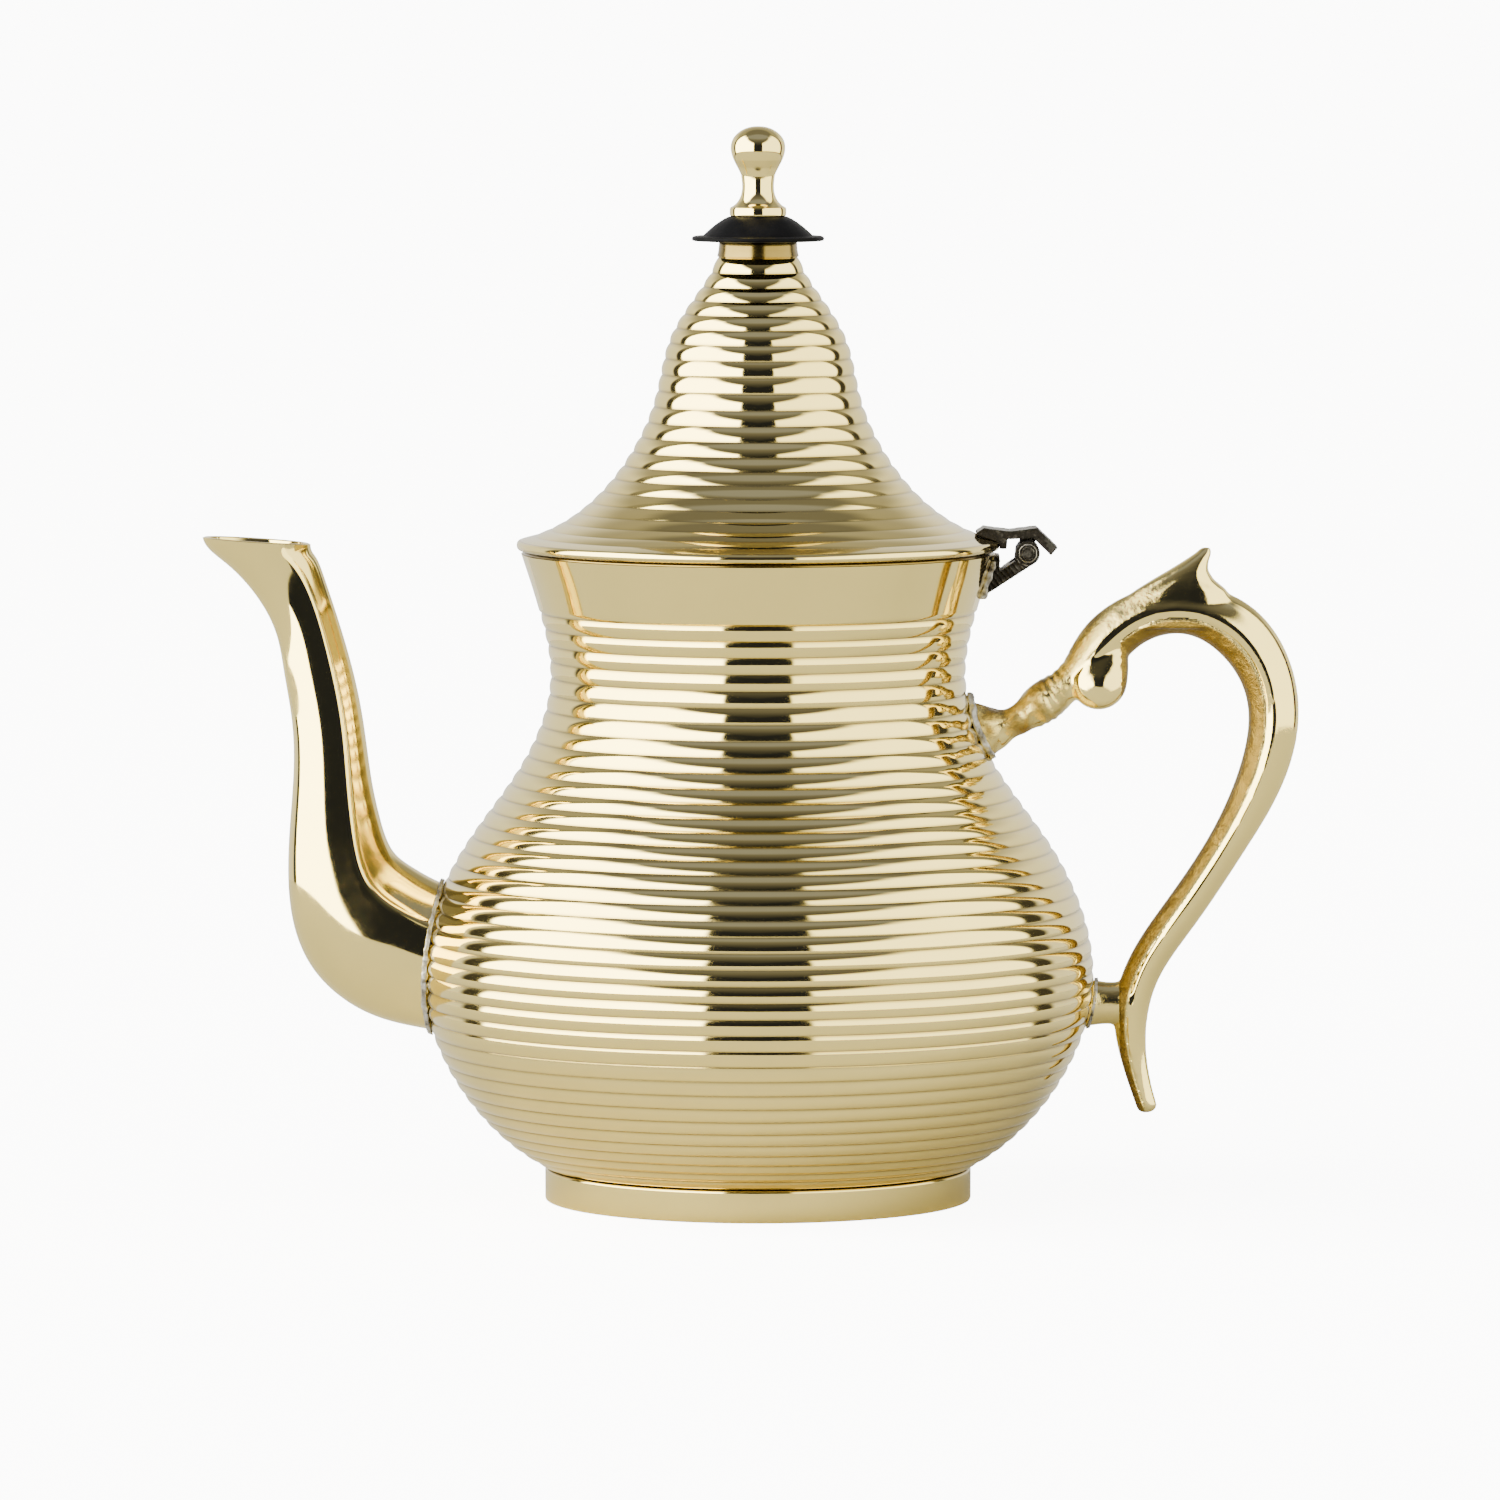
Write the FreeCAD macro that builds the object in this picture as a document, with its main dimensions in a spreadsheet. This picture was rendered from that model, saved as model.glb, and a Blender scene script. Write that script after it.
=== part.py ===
import FreeCAD, Part
import math
import os
import Sketcher
from FreeCAD import Placement, Rotation, Vector

# Ribbed brass teapot with a swan spout, a cast handle and a hinged bell lid.
# Millimetres. The spout points to -X, the handle to +X, and the foot rests on Z = 0.

SIZES = [
    ("foot_radius", 38.9, "outside of the foot ring"),
    ("foot_height", 6.0, "rest face to the underside of the pot"),
    ("foot_wall", 1.5, "thickness of the foot ring"),
    ("foot_step", 0.4, "foot ring standing out past the pot above it"),
    ("belly_radius", 61.25, "widest radius over the ribs"),
    ("belly_height", 40.5, "height of the widest place"),
    ("neck_radius", 37.9, "narrowest radius above the belly"),
    ("neck_height", 95.0, "height of the narrowest place"),
    ("mouth_radius", 43.3, "outside of the mouth edge"),
    ("mouth_height", 118.6, "height of the mouth edge"),
    ("wall", 0.8, "brass left under the grooves"),
    ("rib_pitch", 2.95, "groove to groove along the outline"),
    ("rib_depth", 0.32, "crest to groove"),
    ("plain_band", 12.0, "smooth band under the mouth"),
    ("lid_overhang", 0.65, "lid edge standing out past the mouth edge"),
    ("lid_height", 56.1, "lid seat to the flat top of the crown"),
    ("lid_seat_gap", 0.15, "air between the mouth edge and the closed lid"),
    ("lid_edge", 1.7, "thickness of the folded lid edge"),
    ("lid_edge_round", 0.6, "rounding of the folded lid edge"),
    ("crown_radius", 7.1, "plain stub on top of the lid"),
    ("crown_height", 2.9, "height of the plain stub"),
    ("collar_wall", 0.8, "thickness of the ring under the lid"),
    ("collar_drop", 5.0, "reach of that ring below the lid seat"),
    ("collar_clearance", 0.45, "lower edge of that ring to the inside of the mouth"),
    ("stud_radius", 1.5, "threaded stud through the crown"),
    ("stud_clearance", 0.1, "stud to the holes it passes through"),
    ("thread_gap", 0.02, "stud to the threads that hold it"),
    ("stud_grip", 7.2, "stud inside the knob"),
    ("stud_tail", 1.0, "stud showing below the nut"),
    ("washer_radius", 4.2, "washer under the crown"),
    ("washer_thickness", 0.6, "washer under the crown"),
    ("nut_across_corners", 6.2, "nut under the crown"),
    ("nut_thickness", 2.4, "nut under the crown"),
    ("flange_radius", 12.05, "brim of the black hat under the knob"),
    ("flange_thickness", 0.9, "brim of the black hat"),
    ("hat_radius", 10.1, "dome of the black hat at its brim"),
    ("hat_top_radius", 5.0, "flat top of the black hat"),
    ("hat_height", 4.5, "black hat with its brim"),
    ("hat_bulge", 0.32, "swell of the dome past a straight cone"),
    ("knob_foot_radius", 5.15, "disc at the foot of the knob"),
    ("knob_foot_height", 1.7, "disc at the foot of the knob"),
    ("knob_neck_radius", 3.12, "waist of the knob"),
    ("knob_ball_radius", 5.1, "ball of the knob"),
    ("knob_height", 16.3, "knob from its foot to its top"),
    ("knob_bevel", 0.35, "broken edge of the disc, and the waist's swell under the ball"),
    ("spout_wall", 1.1, "thickness of the spout"),
    ("bead", 1.0, "width and height of the soldered seams"),
    ("lower_bead", 0.6, "width of the seam round the handle's lower foot"),
    ("seam_gap", 0.03, "rib crests to what is soldered on them"),
    ("arm_gap", 0.12, "lid ribs to the hinge arm soldered on them"),
    ("strainer_hole_radius", 1.4, "holes in the wall behind the spout"),
    ("strainer_pitch", 4.2, "hole to hole"),
    ("hinge_reach", 5.05, "lid edge to the hinge pin"),
    ("hinge_drop", 0.3, "hinge pin below the mouth edge"),
    ("hinge_width", 9.6, "over the two cheeks of the bracket"),
    ("hinge_eye_radius", 2.2, "round end of each cheek"),
    ("knuckle_width", 4.0, "eye of the lid arm"),
    ("knuckle_radius", 2.1, "eye of the lid arm"),
    ("knuckle_clearance", 0.35, "eye to each cheek"),
    ("pin_radius", 0.8, "hinge pin"),
    ("pin_clearance", 0.05, "hinge pin in the eye"),
    ("pin_head_radius", 1.2, "riveted ends of the pin"),
    ("pin_head_height", 0.5, "riveted ends of the pin"),
    ("spur_height", 11.1, "thumb spur above the middle of the handle's crest"),
    ("peg_height", 8.6, "lower foot of the handle"),
    ("peg_depth", 6.4, "lower foot of the handle"),
    ("peg_rise", 1.4, "lower foot above the heel of the handle"),
    ("volute_radius", 5.3, "scroll where the handle leaves its neck"),
    ("volute_depth", 8.4, "scroll across the middle plane"),
    ("volute_place", 0.4894, "share of the way from the handle's waist to its crest"),
    ("volute_drop", 5.4, "middle of the scroll below the handle's wrist"),
]

# Sections of the spout from the belly to the lip: distance of the middle from the belly line,
# height, section length in the middle plane, section width, and lean from the upright.
SPOUT = [
    ("root", -7.2, 43.2, 26.8, 23.0, 2.0),
    ("seat", -0.85, 44.8, 27.0, 22.8, 8.0),
    ("throat", 6.0, 47.4, 27.8, 22.4, 17.8),
    ("elbow", 12.5, 52.7, 26.0, 20.6, 34.1),
    ("rise", 15.3, 59.3, 22.6, 18.4, 48.6),
    ("stem_foot", 16.1, 66.2, 18.4, 16.0, 64.7),
    ("stem", 16.4, 75.1, 14.8, 13.6, 79.4),
    ("stem_middle", 17.2, 87.5, 12.9, 12.0, 81.9),
    ("stem_top", 19.2, 98.1, 12.2, 11.4, 76.4),
    ("flare", 23.4, 111.3, 12.4, 11.2, 66.0),
    ("funnel", 27.5, 117.0, 16.4, 12.2, 85.6),
    ("lip", 30.0, 120.3, 19.7, 13.0, 93.7),
]

# Sections of the handle from the neck of the pot round to the tail: the line that the middle is
# measured from, its distance outside that line, height, thickness in the middle plane and depth.
# On the arch, the distance is a share of the way from the waist to the crest.
HANDLE = [
    ("root", "neck", -4.3, 83.2, 11.4, 9.0),
    ("foot", "neck", 3.3, 86.4, 10.2, 8.4),
    ("waist", "neck", 8.1, 86.7, 6.0, 5.8),
    ("bead", "arch", 0.2144, 91.2, 6.9, 6.8),
    ("throat", "arch", 0.3617, 94.4, 7.0, 6.9),
    ("wrist", "arch", 0.5123, 100.1, 9.2, 8.0),
    ("arch", "arch", 0.7054, 105.4, 9.4, 8.2),
    ("crest", "belly", 15.3, 107.9, 9.1, 8.8),
    ("bend", "belly", 24.4, 105.1, 10.2, 9.2),
    ("knee", "belly", 30.9, 97.1, 9.9, 9.2),
    ("grip", "belly", 32.7, 88.8, 9.3, 9.0),
    ("palm", "belly", 31.3, 79.9, 8.8, 8.6),
    ("slope", "belly", 24.9, 66.1, 7.2, 7.0),
    ("shank", "belly", 15.2, 51.4, 7.0, 6.8),
    ("ankle", "belly", 9.2, 42.1, 6.7, 6.4),
    ("heel", "belly", 6.9, 34.4, 6.4, 6.2),
    ("tail", "belly", 7.2, 27.0, 5.1, 5.0),
    ("tail_end", "belly", 9.8, 16.9, 3.8, 3.6),
]

# Sections of the thumb spur, level and stacked: share of its height, shift outwards from the
# handle's crest, length and depth.
SPUR = [(0.16, 0.0, 14.6, 8.4), (0.55, 0.35, 11.6, 7.0), (0.72, 0.95, 8.2, 5.6),
        (0.88, 2.15, 5.0, 4.0), (1.0, 3.15, 2.6, 2.2)]

doc = FreeCAD.newDocument("teapot")
sheet = doc.addObject("Spreadsheet::Sheet", "Sizes")
rows = list(SIZES)
for name, standoff, height, length, width, lean in SPOUT:
    rows.append(("spout_" + name + "_standoff", standoff, "spout section"))
    rows.append(("spout_" + name + "_height", height, "spout section"))
    rows.append(("spout_" + name + "_length", length, "spout section"))
    rows.append(("spout_" + name + "_width", width, "spout section"))
    rows.append(("spout_" + name + "_lean", lean, "spout section"))
for name, line, standoff, height, thickness, depth in HANDLE:
    rows.append(("handle_" + name + "_standoff", standoff, "handle section"))
    rows.append(("handle_" + name + "_height", height, "handle section"))
    rows.append(("handle_" + name + "_thickness", thickness, "handle section"))
    rows.append(("handle_" + name + "_depth", depth, "handle section"))
for row, (alias, number, note) in enumerate(rows, start=1):
    sheet.set("A%d" % row, alias)
    sheet.set("B%d" % row, str(number))
    sheet.setAlias("B%d" % row, alias)
    sheet.set("C%d" % row, note)
doc.recompute()


def size(alias):
    return float(sheet.get(alias))


def flat(x, z):
    return Vector(x, z, 0.0)


def new_body(label):
    body = doc.addObject("PartDesign::Body", label)
    body.Label = label
    return body


def new_sketch(body, role, name):
    sketch = body.newObject("Sketcher::SketchObject", name)
    planes = [item for item in body.Origin.OriginFeatures if item.Role == role]
    sketch.AttachmentSupport = [(planes[0], "")]
    sketch.MapMode = "FlatFace"
    return sketch


def lay_outline(sketch, edges):
    """Put a closed run of edges into a sketch and tie each end to the next."""
    for edge in edges:
        sketch.addGeometry(edge)
    total = len(edges)
    for index in range(total):
        sketch.addConstraint(Sketcher.Constraint("Coincident", index, 2, (index + 1) % total, 1))


def polygon(points):
    """Straight edges round a list of points."""
    return [Part.LineSegment(a, b) for a, b in zip(points, points[1:] + points[:1])]


def turned(label, edges):
    """A body turned about the Z axis from a closed outline in the XZ plane."""
    body = new_body(label)
    sketch = new_sketch(body, "XZ_Plane", label + "_outline")
    for edge in edges:
        sketch.addGeometry(edge)
    revolution = body.newObject("PartDesign::Revolution", label + "_turning")
    revolution.Profile = sketch
    revolution.ReferenceAxis = (sketch, ["V_Axis"])
    revolution.Angle = 360.0
    body.Tip = revolution
    return body


def bound(kind, label, expressions):
    """A Part object whose sizes follow the sheet."""
    thing = doc.addObject(kind, label)
    thing.Label = label
    for field, expression in expressions.items():
        thing.setExpression(field, expression)
    return thing


def cut(label, base, tool):
    result = doc.addObject("Part::Cut", label)
    result.Label = label
    result.Base = base
    result.Tool = tool
    return result


def common(label, base, tool):
    result = doc.addObject("Part::Common", label)
    result.Label = label
    result.Base = base
    result.Tool = tool
    return result


def fused(label, pieces):
    result = doc.addObject("Part::MultiFuse", label)
    result.Label = label
    result.Shapes = pieces
    return result


def curve_through(points):
    curve = Part.BSplineCurve()
    curve.interpolate(points)
    return curve


def outward(curve, point):
    """Unit normal of an outline that runs downwards, pointing away from the pot's inside."""
    tangent = curve.tangent(curve.parameter(point))[0]
    return flat(-tangent.y, tangent.x).normalize()


def shifted(curve, distance, count):
    """Points of a curve moved along its normal."""
    points = curve.discretize(Number=count)
    return [point + outward(curve, point) * distance for point in points]


def rib_arcs(curve, marks, depth):
    """One convex arc between each two marks on a curve, with a groove at every inner mark."""
    grooves = [mark - outward(curve, mark) * depth for mark in marks[:-1]] + [marks[-1]]
    arcs = []
    for index in range(len(marks) - 1):
        low = curve.parameter(marks[index])
        high = curve.parameter(marks[index + 1])
        crest = curve.value((low + high) / 2.0)
        arcs.append(Part.Arc(grooves[index], crest, grooves[index + 1]))
    return arcs


def between(low, high, share):
    return low + (high - low) * share


# The pot: a smooth outline from the mouth down to the foot. Each pair is a share of the radius
# and a share of the height between two of the sizes.

NECK_TO_MOUTH = (0.26, 0.45)
BELLY_TO_NECK = [(0.201, 0.734), (0.690, 0.428)]
FOOT_TO_BELLY = (0.708, 0.426)
STRAINER_RINGS = 2
STRAINER_ROW = math.sin(math.radians(60.0))


def pot_points(grow):
    """Places on the pot outline, from the mouth down, moved outwards by grow."""
    foot_radius = size("foot_radius") - size("foot_step")
    neck = size("neck_radius")
    belly = size("belly_radius")
    mouth = size("mouth_radius")
    foot_height = size("foot_height")
    belly_height = size("belly_height")
    neck_height = size("neck_height")
    mouth_height = size("mouth_height")
    places = [(mouth, mouth_height)]
    wide, high = NECK_TO_MOUTH
    places.append((between(neck, mouth, wide), between(neck_height, mouth_height, high)))
    places.append((neck, neck_height))
    for wide, high in BELLY_TO_NECK:
        places.append((between(neck, belly, wide), between(belly_height, neck_height, high)))
    places.append((belly, belly_height))
    wide, high = FOOT_TO_BELLY
    places.append((between(foot_radius, belly, wide), between(foot_height, belly_height, high)))
    places.append((foot_radius, foot_height))
    return [flat(radius + grow, height) for radius, height in places]


def make_body_shell():
    """Spun shell with ribs outside, smooth inside, and strainer holes behind the spout."""
    curve = curve_through(pot_points(0.0))
    count = int(round(curve.length() / size("rib_pitch")))
    marks = curve.discretize(Number=count + 1)
    plain = int(round(size("plain_band") / size("rib_pitch")))
    band = curve.copy()
    band.segment(curve.FirstParameter, curve.parameter(marks[plain]))
    ribs = rib_arcs(curve, marks[plain:], size("rib_depth"))
    inside = shifted(curve, -size("wall") - size("rib_depth"), 3 * curve.NbPoles)
    inside[0] = flat(size("mouth_radius") - size("wall") - size("rib_depth"), size("mouth_height"))
    floor = inside[-1].y
    edges = [band, Part.LineSegment(marks[plain], ribs[0].StartPoint)] + ribs
    edges.append(Part.LineSegment(marks[-1], flat(0.0, size("foot_height"))))
    edges.append(Part.LineSegment(flat(0.0, size("foot_height")), flat(0.0, floor)))
    edges.append(Part.LineSegment(flat(0.0, floor), inside[-1]))
    edges.append(curve_through(inside[::-1]))
    edges.append(Part.LineSegment(inside[0], marks[0]))
    body = turned("body_shell", edges)
    sketch = new_sketch(body, "YZ_Plane", "strainer_outline")
    radius = size("strainer_hole_radius")
    pitch = size("strainer_pitch")
    holes = []
    for across in range(-STRAINER_RINGS, STRAINER_RINGS + 1):
        for along in range(-STRAINER_RINGS, STRAINER_RINGS + 1):
            if abs(across + along) <= STRAINER_RINGS:
                y = pitch * across * STRAINER_ROW
                z = size("spout_seat_height") + pitch * (along + across / 2.0)
                holes.append(sketch.addGeometry(Part.Circle(flat(y, z), Vector(0, 0, 1), radius)))
    fixed = sketch.addConstraint(Sketcher.Constraint("Radius", holes[0], radius))
    sketch.setExpression("Constraints[%d]" % fixed, "Sizes.strainer_hole_radius")
    for hole in holes[1:]:
        sketch.addConstraint(Sketcher.Constraint("Equal", holes[0], hole))
    strainer = body.newObject("PartDesign::Pocket", "strainer_holes")
    strainer.Profile = sketch
    strainer.Type = "ThroughAll"
    body.Tip = strainer
    return body


def pot_solid(label, grow):
    """The pot outline turned as one full solid, used to trim what is soldered to it."""
    points = pot_points(grow)
    top = flat(0.0, points[0].y)
    bottom = flat(0.0, points[-1].y)
    edges = [curve_through(points), Part.LineSegment(points[-1], bottom)]
    edges += [Part.LineSegment(bottom, top), Part.LineSegment(top, points[0])]
    return turned(label, edges)


def make_foot_ring():
    outer = bound("Part::Cylinder", "foot_outer", {
        "Radius": "Sizes.foot_radius", "Height": "Sizes.foot_height"})
    inner = bound("Part::Cylinder", "foot_inner", {
        "Radius": "Sizes.foot_radius - Sizes.foot_wall", "Height": "Sizes.foot_height"})
    return cut("foot_ring", outer, inner)


# The spout and the handle: ellipses set along a bent line and joined by a smooth skin.

BORE_PAST_END = 3.0
PEG_START_SHARE = 0.8
UPPER_SEAM = ("root", "foot", "waist", "bead")


def ellipse(x, z, length, width, lean):
    """Section of four quarters, its long axis in the middle plane and leaning from the upright."""
    shape = Part.Ellipse(Vector(), max(length, width) / 2.0, min(length, width) / 2.0)
    quarters = [Part.ArcOfEllipse(shape, math.radians(turn), math.radians(turn + 90.0)).toShape()
                for turn in (0.0, 90.0, 180.0, 270.0)]
    section = Part.Wire(quarters)
    section.Placement = Placement(Vector(x, 0.0, z), Rotation(Vector(0, 1, 0), lean - 90.0))
    return section


def skin(label, sections):
    """Smooth solid over a run of sections."""
    solid = doc.addObject("Part::Feature", label)
    solid.Label = label
    solid.Shape = Part.makeLoft(sections, True, False)
    return solid


def spout_section(name, grow, along=0.0):
    """One spout section, made larger by grow and pushed along the spout by along."""
    cell = "spout_" + name
    lean = size(cell + "_lean")
    x = -size("belly_radius") - size(cell + "_standoff") - along * math.cos(math.radians(lean))
    z = size(cell + "_height") + along * math.sin(math.radians(lean))
    return ellipse(x, z, size(cell + "_length") + 2.0 * grow, size(cell + "_width") + 2.0 * grow, lean)


def make_spout(pot):
    names = [name for name, *_ in SPOUT]
    outer = skin("spout_outer", [spout_section(name, 0.0) for name in names])
    wall = -size("spout_wall")
    inside = [spout_section(names[0], wall, -BORE_PAST_END)]
    inside += [spout_section(name, wall) for name in names]
    inside.append(spout_section(names[-1], wall, BORE_PAST_END))
    tube = cut("spout_tube", outer, skin("spout_bore", inside))
    return outer, cut("spout", tube, pot)


def on_arch(share):
    """Distance from the axis, as a share of the way from the handle's waist to its crest."""
    waist = size("neck_radius") + size("handle_waist_standoff")
    crest = size("belly_radius") + size("handle_crest_standoff")
    return between(waist, crest, share)


def handle_place(name, line):
    """Middle of a handle section in the middle plane."""
    standoff = size("handle_" + name + "_standoff")
    if line == "arch":
        x = on_arch(standoff)
    else:
        x = size(line + "_radius") + standoff
    return x, size("handle_" + name + "_height")


def handle_leans():
    """Lean of each handle section, square to the line through its neighbours."""
    places = [handle_place(name, line) for name, line, *_ in HANDLE]
    leans = []
    for index in range(len(places)):
        before = places[max(index - 1, 0)]
        after = places[min(index + 1, len(places) - 1)]
        leans.append(math.degrees(math.atan2(after[1] - before[1], before[0] - after[0])))
    return leans


def handle_sections(grow, count):
    """The first count sections of the handle, made larger by grow."""
    sections = []
    for (name, line, *_), lean in list(zip(HANDLE, handle_leans()))[:count]:
        x, z = handle_place(name, line)
        thickness = size("handle_%s_thickness" % name) + 2.0 * grow
        depth = size("handle_%s_depth" % name) + 2.0 * grow
        sections.append(ellipse(x, z, thickness, depth, lean))
    return sections


def make_handle_peg(label, grow):
    """Short lower foot between the belly and the heel of the handle."""
    heel, height = handle_place("heel", "belly")
    z = height + size("peg_rise")
    length = size("peg_height") + 2.0 * grow
    width = size("peg_depth") + 2.0 * grow
    ends = (size("belly_radius") * PEG_START_SHARE, heel)
    return skin(label, [ellipse(x, z, length, width, 180.0) for x in ends])


def make_handle(pot):
    loop = skin("handle_loop", handle_sections(0.0, len(HANDLE)))
    volute = bound("Part::Ellipsoid", "handle_volute", {
        "Radius1": "Sizes.volute_depth / 2",
        "Radius2": "Sizes.volute_radius",
        "Radius3": "Sizes.volute_radius",
        "Placement.Base.x": "(Sizes.neck_radius + Sizes.handle_waist_standoff) * (1 - Sizes.volute_place)"
                            " + (Sizes.belly_radius + Sizes.handle_crest_standoff) * Sizes.volute_place",
        "Placement.Base.z": "Sizes.handle_wrist_height - Sizes.volute_drop"})
    volute.Placement.Rotation = Rotation(Vector(1, 0, 0), 90.0)
    crest, height = handle_place("crest", "belly")
    spur = [ellipse(crest + shift, height + size("spur_height") * share, length, depth, 90.0)
            for share, shift, length, depth in SPUR]
    pieces = [loop, volute, skin("handle_spur", spur), make_handle_peg("handle_peg", 0.0)]
    whole = fused("handle_casting", pieces)
    return whole, cut("handle", whole, pot)


def make_seam(label, grown, near, piece, pot):
    """Bead of solder in the corner between the pot and a piece that stands on it."""
    corner = common(label + "_corner", grown, near)
    return cut(label, cut(label + "_ring", corner, piece), pot)


# The lid: a ribbed bell with a folded edge, carried by the hinge. Each pair is a share of the way
# in from the edge to the crown and a share of the way down from the crown to the edge.

LID_PLACES = [(0.313, 0.896), (0.550, 0.714), (0.683, 0.512),
              (0.749, 0.332), (0.892, 0.172), (0.990, 0.052)]
COLLAR_CORNER_SLOPE = 0.3


def lid_base():
    return size("mouth_height") + size("lid_seat_gap")


def lid_radius():
    return size("mouth_radius") + size("lid_overhang")


def collar_radius():
    """Outside of the lid's collar: clear of the inside of the mouth at the collar's lower edge."""
    height = lid_base() - size("collar_drop")
    level = Part.LineSegment(flat(0.0, height), flat(2.0 * size("mouth_radius"), height))
    outside = curve_through(pot_points(0.0)).intersectCC(level)[0].X
    return outside - size("wall") - size("rib_depth") - size("collar_clearance")


def lid_points():
    """Places on the lid outline, from the crown stub down to the edge."""
    top = lid_base() + size("lid_height")
    places = [(size("crown_radius"), top)]
    low = lid_base() + size("lid_edge")
    rim = lid_radius() - size("lid_edge_round")
    for narrow, high in reversed(LID_PLACES):
        radius = between(rim, size("crown_radius"), narrow)
        places.append((radius, between(top, low, high)))
    places.append((rim, low))
    return [flat(radius, height) for radius, height in places]


def lid_outline_parts():
    """Outer curve of the lid, its rib marks, and the rounded edge below them."""
    curve = curve_through(lid_points())
    stub_height = lid_base() + size("lid_height") - size("crown_height")
    stub = curve.parameter(flat(size("crown_radius"), stub_height))
    ribbed = curve.copy()
    ribbed.segment(stub, curve.LastParameter)
    count = int(round(ribbed.length() / size("rib_pitch")))
    marks = ribbed.discretize(Number=count + 1)
    plain = curve.copy()
    plain.segment(curve.FirstParameter, curve.parameter(marks[0]))
    low = lid_base()
    edge = Part.Arc(marks[-1], flat(lid_radius(), low + size("lid_edge") / 2.0),
                    flat(lid_radius() - size("lid_edge_round"), low))
    return curve, plain, marks, edge


def make_lid_shell():
    curve, plain, marks, edge = lid_outline_parts()
    ribs = rib_arcs(curve, marks, size("rib_depth"))
    inside = shifted(curve, -size("wall") - size("rib_depth"), 3 * curve.NbPoles)
    top = lid_base() + size("lid_height")
    ceiling = top - size("wall")
    hole = size("stud_radius") + size("stud_clearance")
    skin_points = [flat(inside[0].x, ceiling)]
    collar = collar_radius()
    skin_points += [point for point in inside[1:] if point.x < collar - size("wall")]
    last = skin_points[-1]
    corner = flat(collar, last.y - (collar - last.x) * COLLAR_CORNER_SLOPE)
    edges = [plain, Part.LineSegment(marks[0], ribs[0].StartPoint)] + ribs + [edge]
    edges.append(Part.LineSegment(edge.EndPoint, flat(collar, lid_base())))
    edges.append(Part.LineSegment(flat(collar, lid_base()), corner))
    edges.append(curve_through([corner] + skin_points[::-1]))
    edges.append(Part.LineSegment(skin_points[0], flat(hole, ceiling)))
    edges.append(Part.LineSegment(flat(hole, ceiling), flat(hole, top)))
    edges.append(Part.LineSegment(flat(hole, top), curve.StartPoint))
    return turned("lid_shell", edges), corner.y


def make_lid_solid():
    """The lid outline as one full solid a seam outside the ribs, used to trim the hinge arm."""
    points = shifted(curve_through(lid_points()), size("arm_gap"), 3 * len(LID_PLACES))
    reach = lid_radius() + size("arm_gap")
    base = lid_base() - size("arm_gap")
    top = flat(0.0, points[0].y)
    corners = [points[-1], flat(reach, points[-1].y - size("lid_edge_round")), flat(reach, base),
               flat(0.0, base), top, points[0]]
    edges = [curve_through(points)] + [Part.LineSegment(a, b) for a, b in zip(corners, corners[1:])]
    return turned("lid_trimmer", edges)


def make_lid_collar(top):
    """Plain ring under the lid that drops into the mouth."""
    outside = collar_radius()
    inside = outside - size("collar_wall")
    bottom = lid_base() - size("collar_drop")
    corners = [flat(inside, bottom), flat(outside, bottom), flat(outside, top), flat(inside, top)]
    return turned("lid_collar", polygon(corners))


# The knob stack on the crown. The shares shape the knob: its ball is set out in ball radii, and
# its sweep between the foot disc and the waist.

CROWN = "Sizes.mouth_height + Sizes.lid_seat_gap + Sizes.lid_height"
BALL_MIDDLE = 0.85
BALL_START = 0.72
BALL_SHOULDER = (0.62, 0.2)
WAIST_PLACE = 0.62
FOOT_SWEEP = (0.75, 0.4)


def make_knob_hat():
    """Black hat that keeps the knob cool."""
    base = lid_base() + size("lid_height")
    hole = size("stud_radius") + size("stud_clearance")
    brim = base + size("flange_thickness")
    top = base + size("hat_height")
    side = flat(size("hat_radius"), brim)
    crest = flat(size("hat_top_radius"), top)
    bulge = (side + crest) / 2.0 + flat(size("hat_bulge"), size("hat_bulge"))
    edges = [Part.LineSegment(flat(hole, base), flat(size("flange_radius"), base))]
    edges.append(Part.LineSegment(flat(size("flange_radius"), base), flat(size("flange_radius"), brim)))
    edges.append(Part.LineSegment(flat(size("flange_radius"), brim), side))
    edges.append(Part.Arc(side, bulge, crest))
    edges.append(Part.LineSegment(crest, flat(hole, top)))
    edges.append(Part.LineSegment(flat(hole, top), flat(hole, base)))
    return turned("knob_insulator", edges)


def make_knob():
    """Disc, waist and ball turned in one, with a blind hole for the stud."""
    base = lid_base() + size("lid_height") + size("hat_height")
    hole = size("stud_radius") + size("thread_gap")
    foot = size("knob_foot_radius")
    bevel = size("knob_bevel")
    shoulder = base + size("knob_foot_height")
    top = base + size("knob_height")
    ball = size("knob_ball_radius")
    middle = top - ball * BALL_MIDDLE
    joint = flat(size("knob_neck_radius") + bevel, middle - ball * BALL_START)
    start = flat(foot - bevel, shoulder)
    waist = flat(size("knob_neck_radius"), between(shoulder, joint.y, WAIST_PLACE))
    inward, upward = FOOT_SWEEP
    sweep = flat(between(start.x, waist.x, inward), between(start.y, waist.y, upward))
    wide, below = BALL_SHOULDER
    deep = base + size("stud_grip")
    edges = [Part.LineSegment(flat(hole, base), flat(foot, base))]
    edges.append(Part.LineSegment(flat(foot, base), flat(foot, shoulder - bevel)))
    edges.append(Part.LineSegment(flat(foot, shoulder - bevel), start))
    edges.append(curve_through([start, sweep, waist, joint]))
    edges.append(curve_through([joint, flat(ball, middle), flat(ball * wide, top - ball * below),
                                flat(0.0, top)]))
    edges.append(Part.LineSegment(flat(0.0, top), flat(0.0, deep)))
    edges.append(Part.LineSegment(flat(0.0, deep), flat(hole, deep)))
    edges.append(Part.LineSegment(flat(hole, deep), flat(hole, base)))
    return turned("knob", edges)


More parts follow.
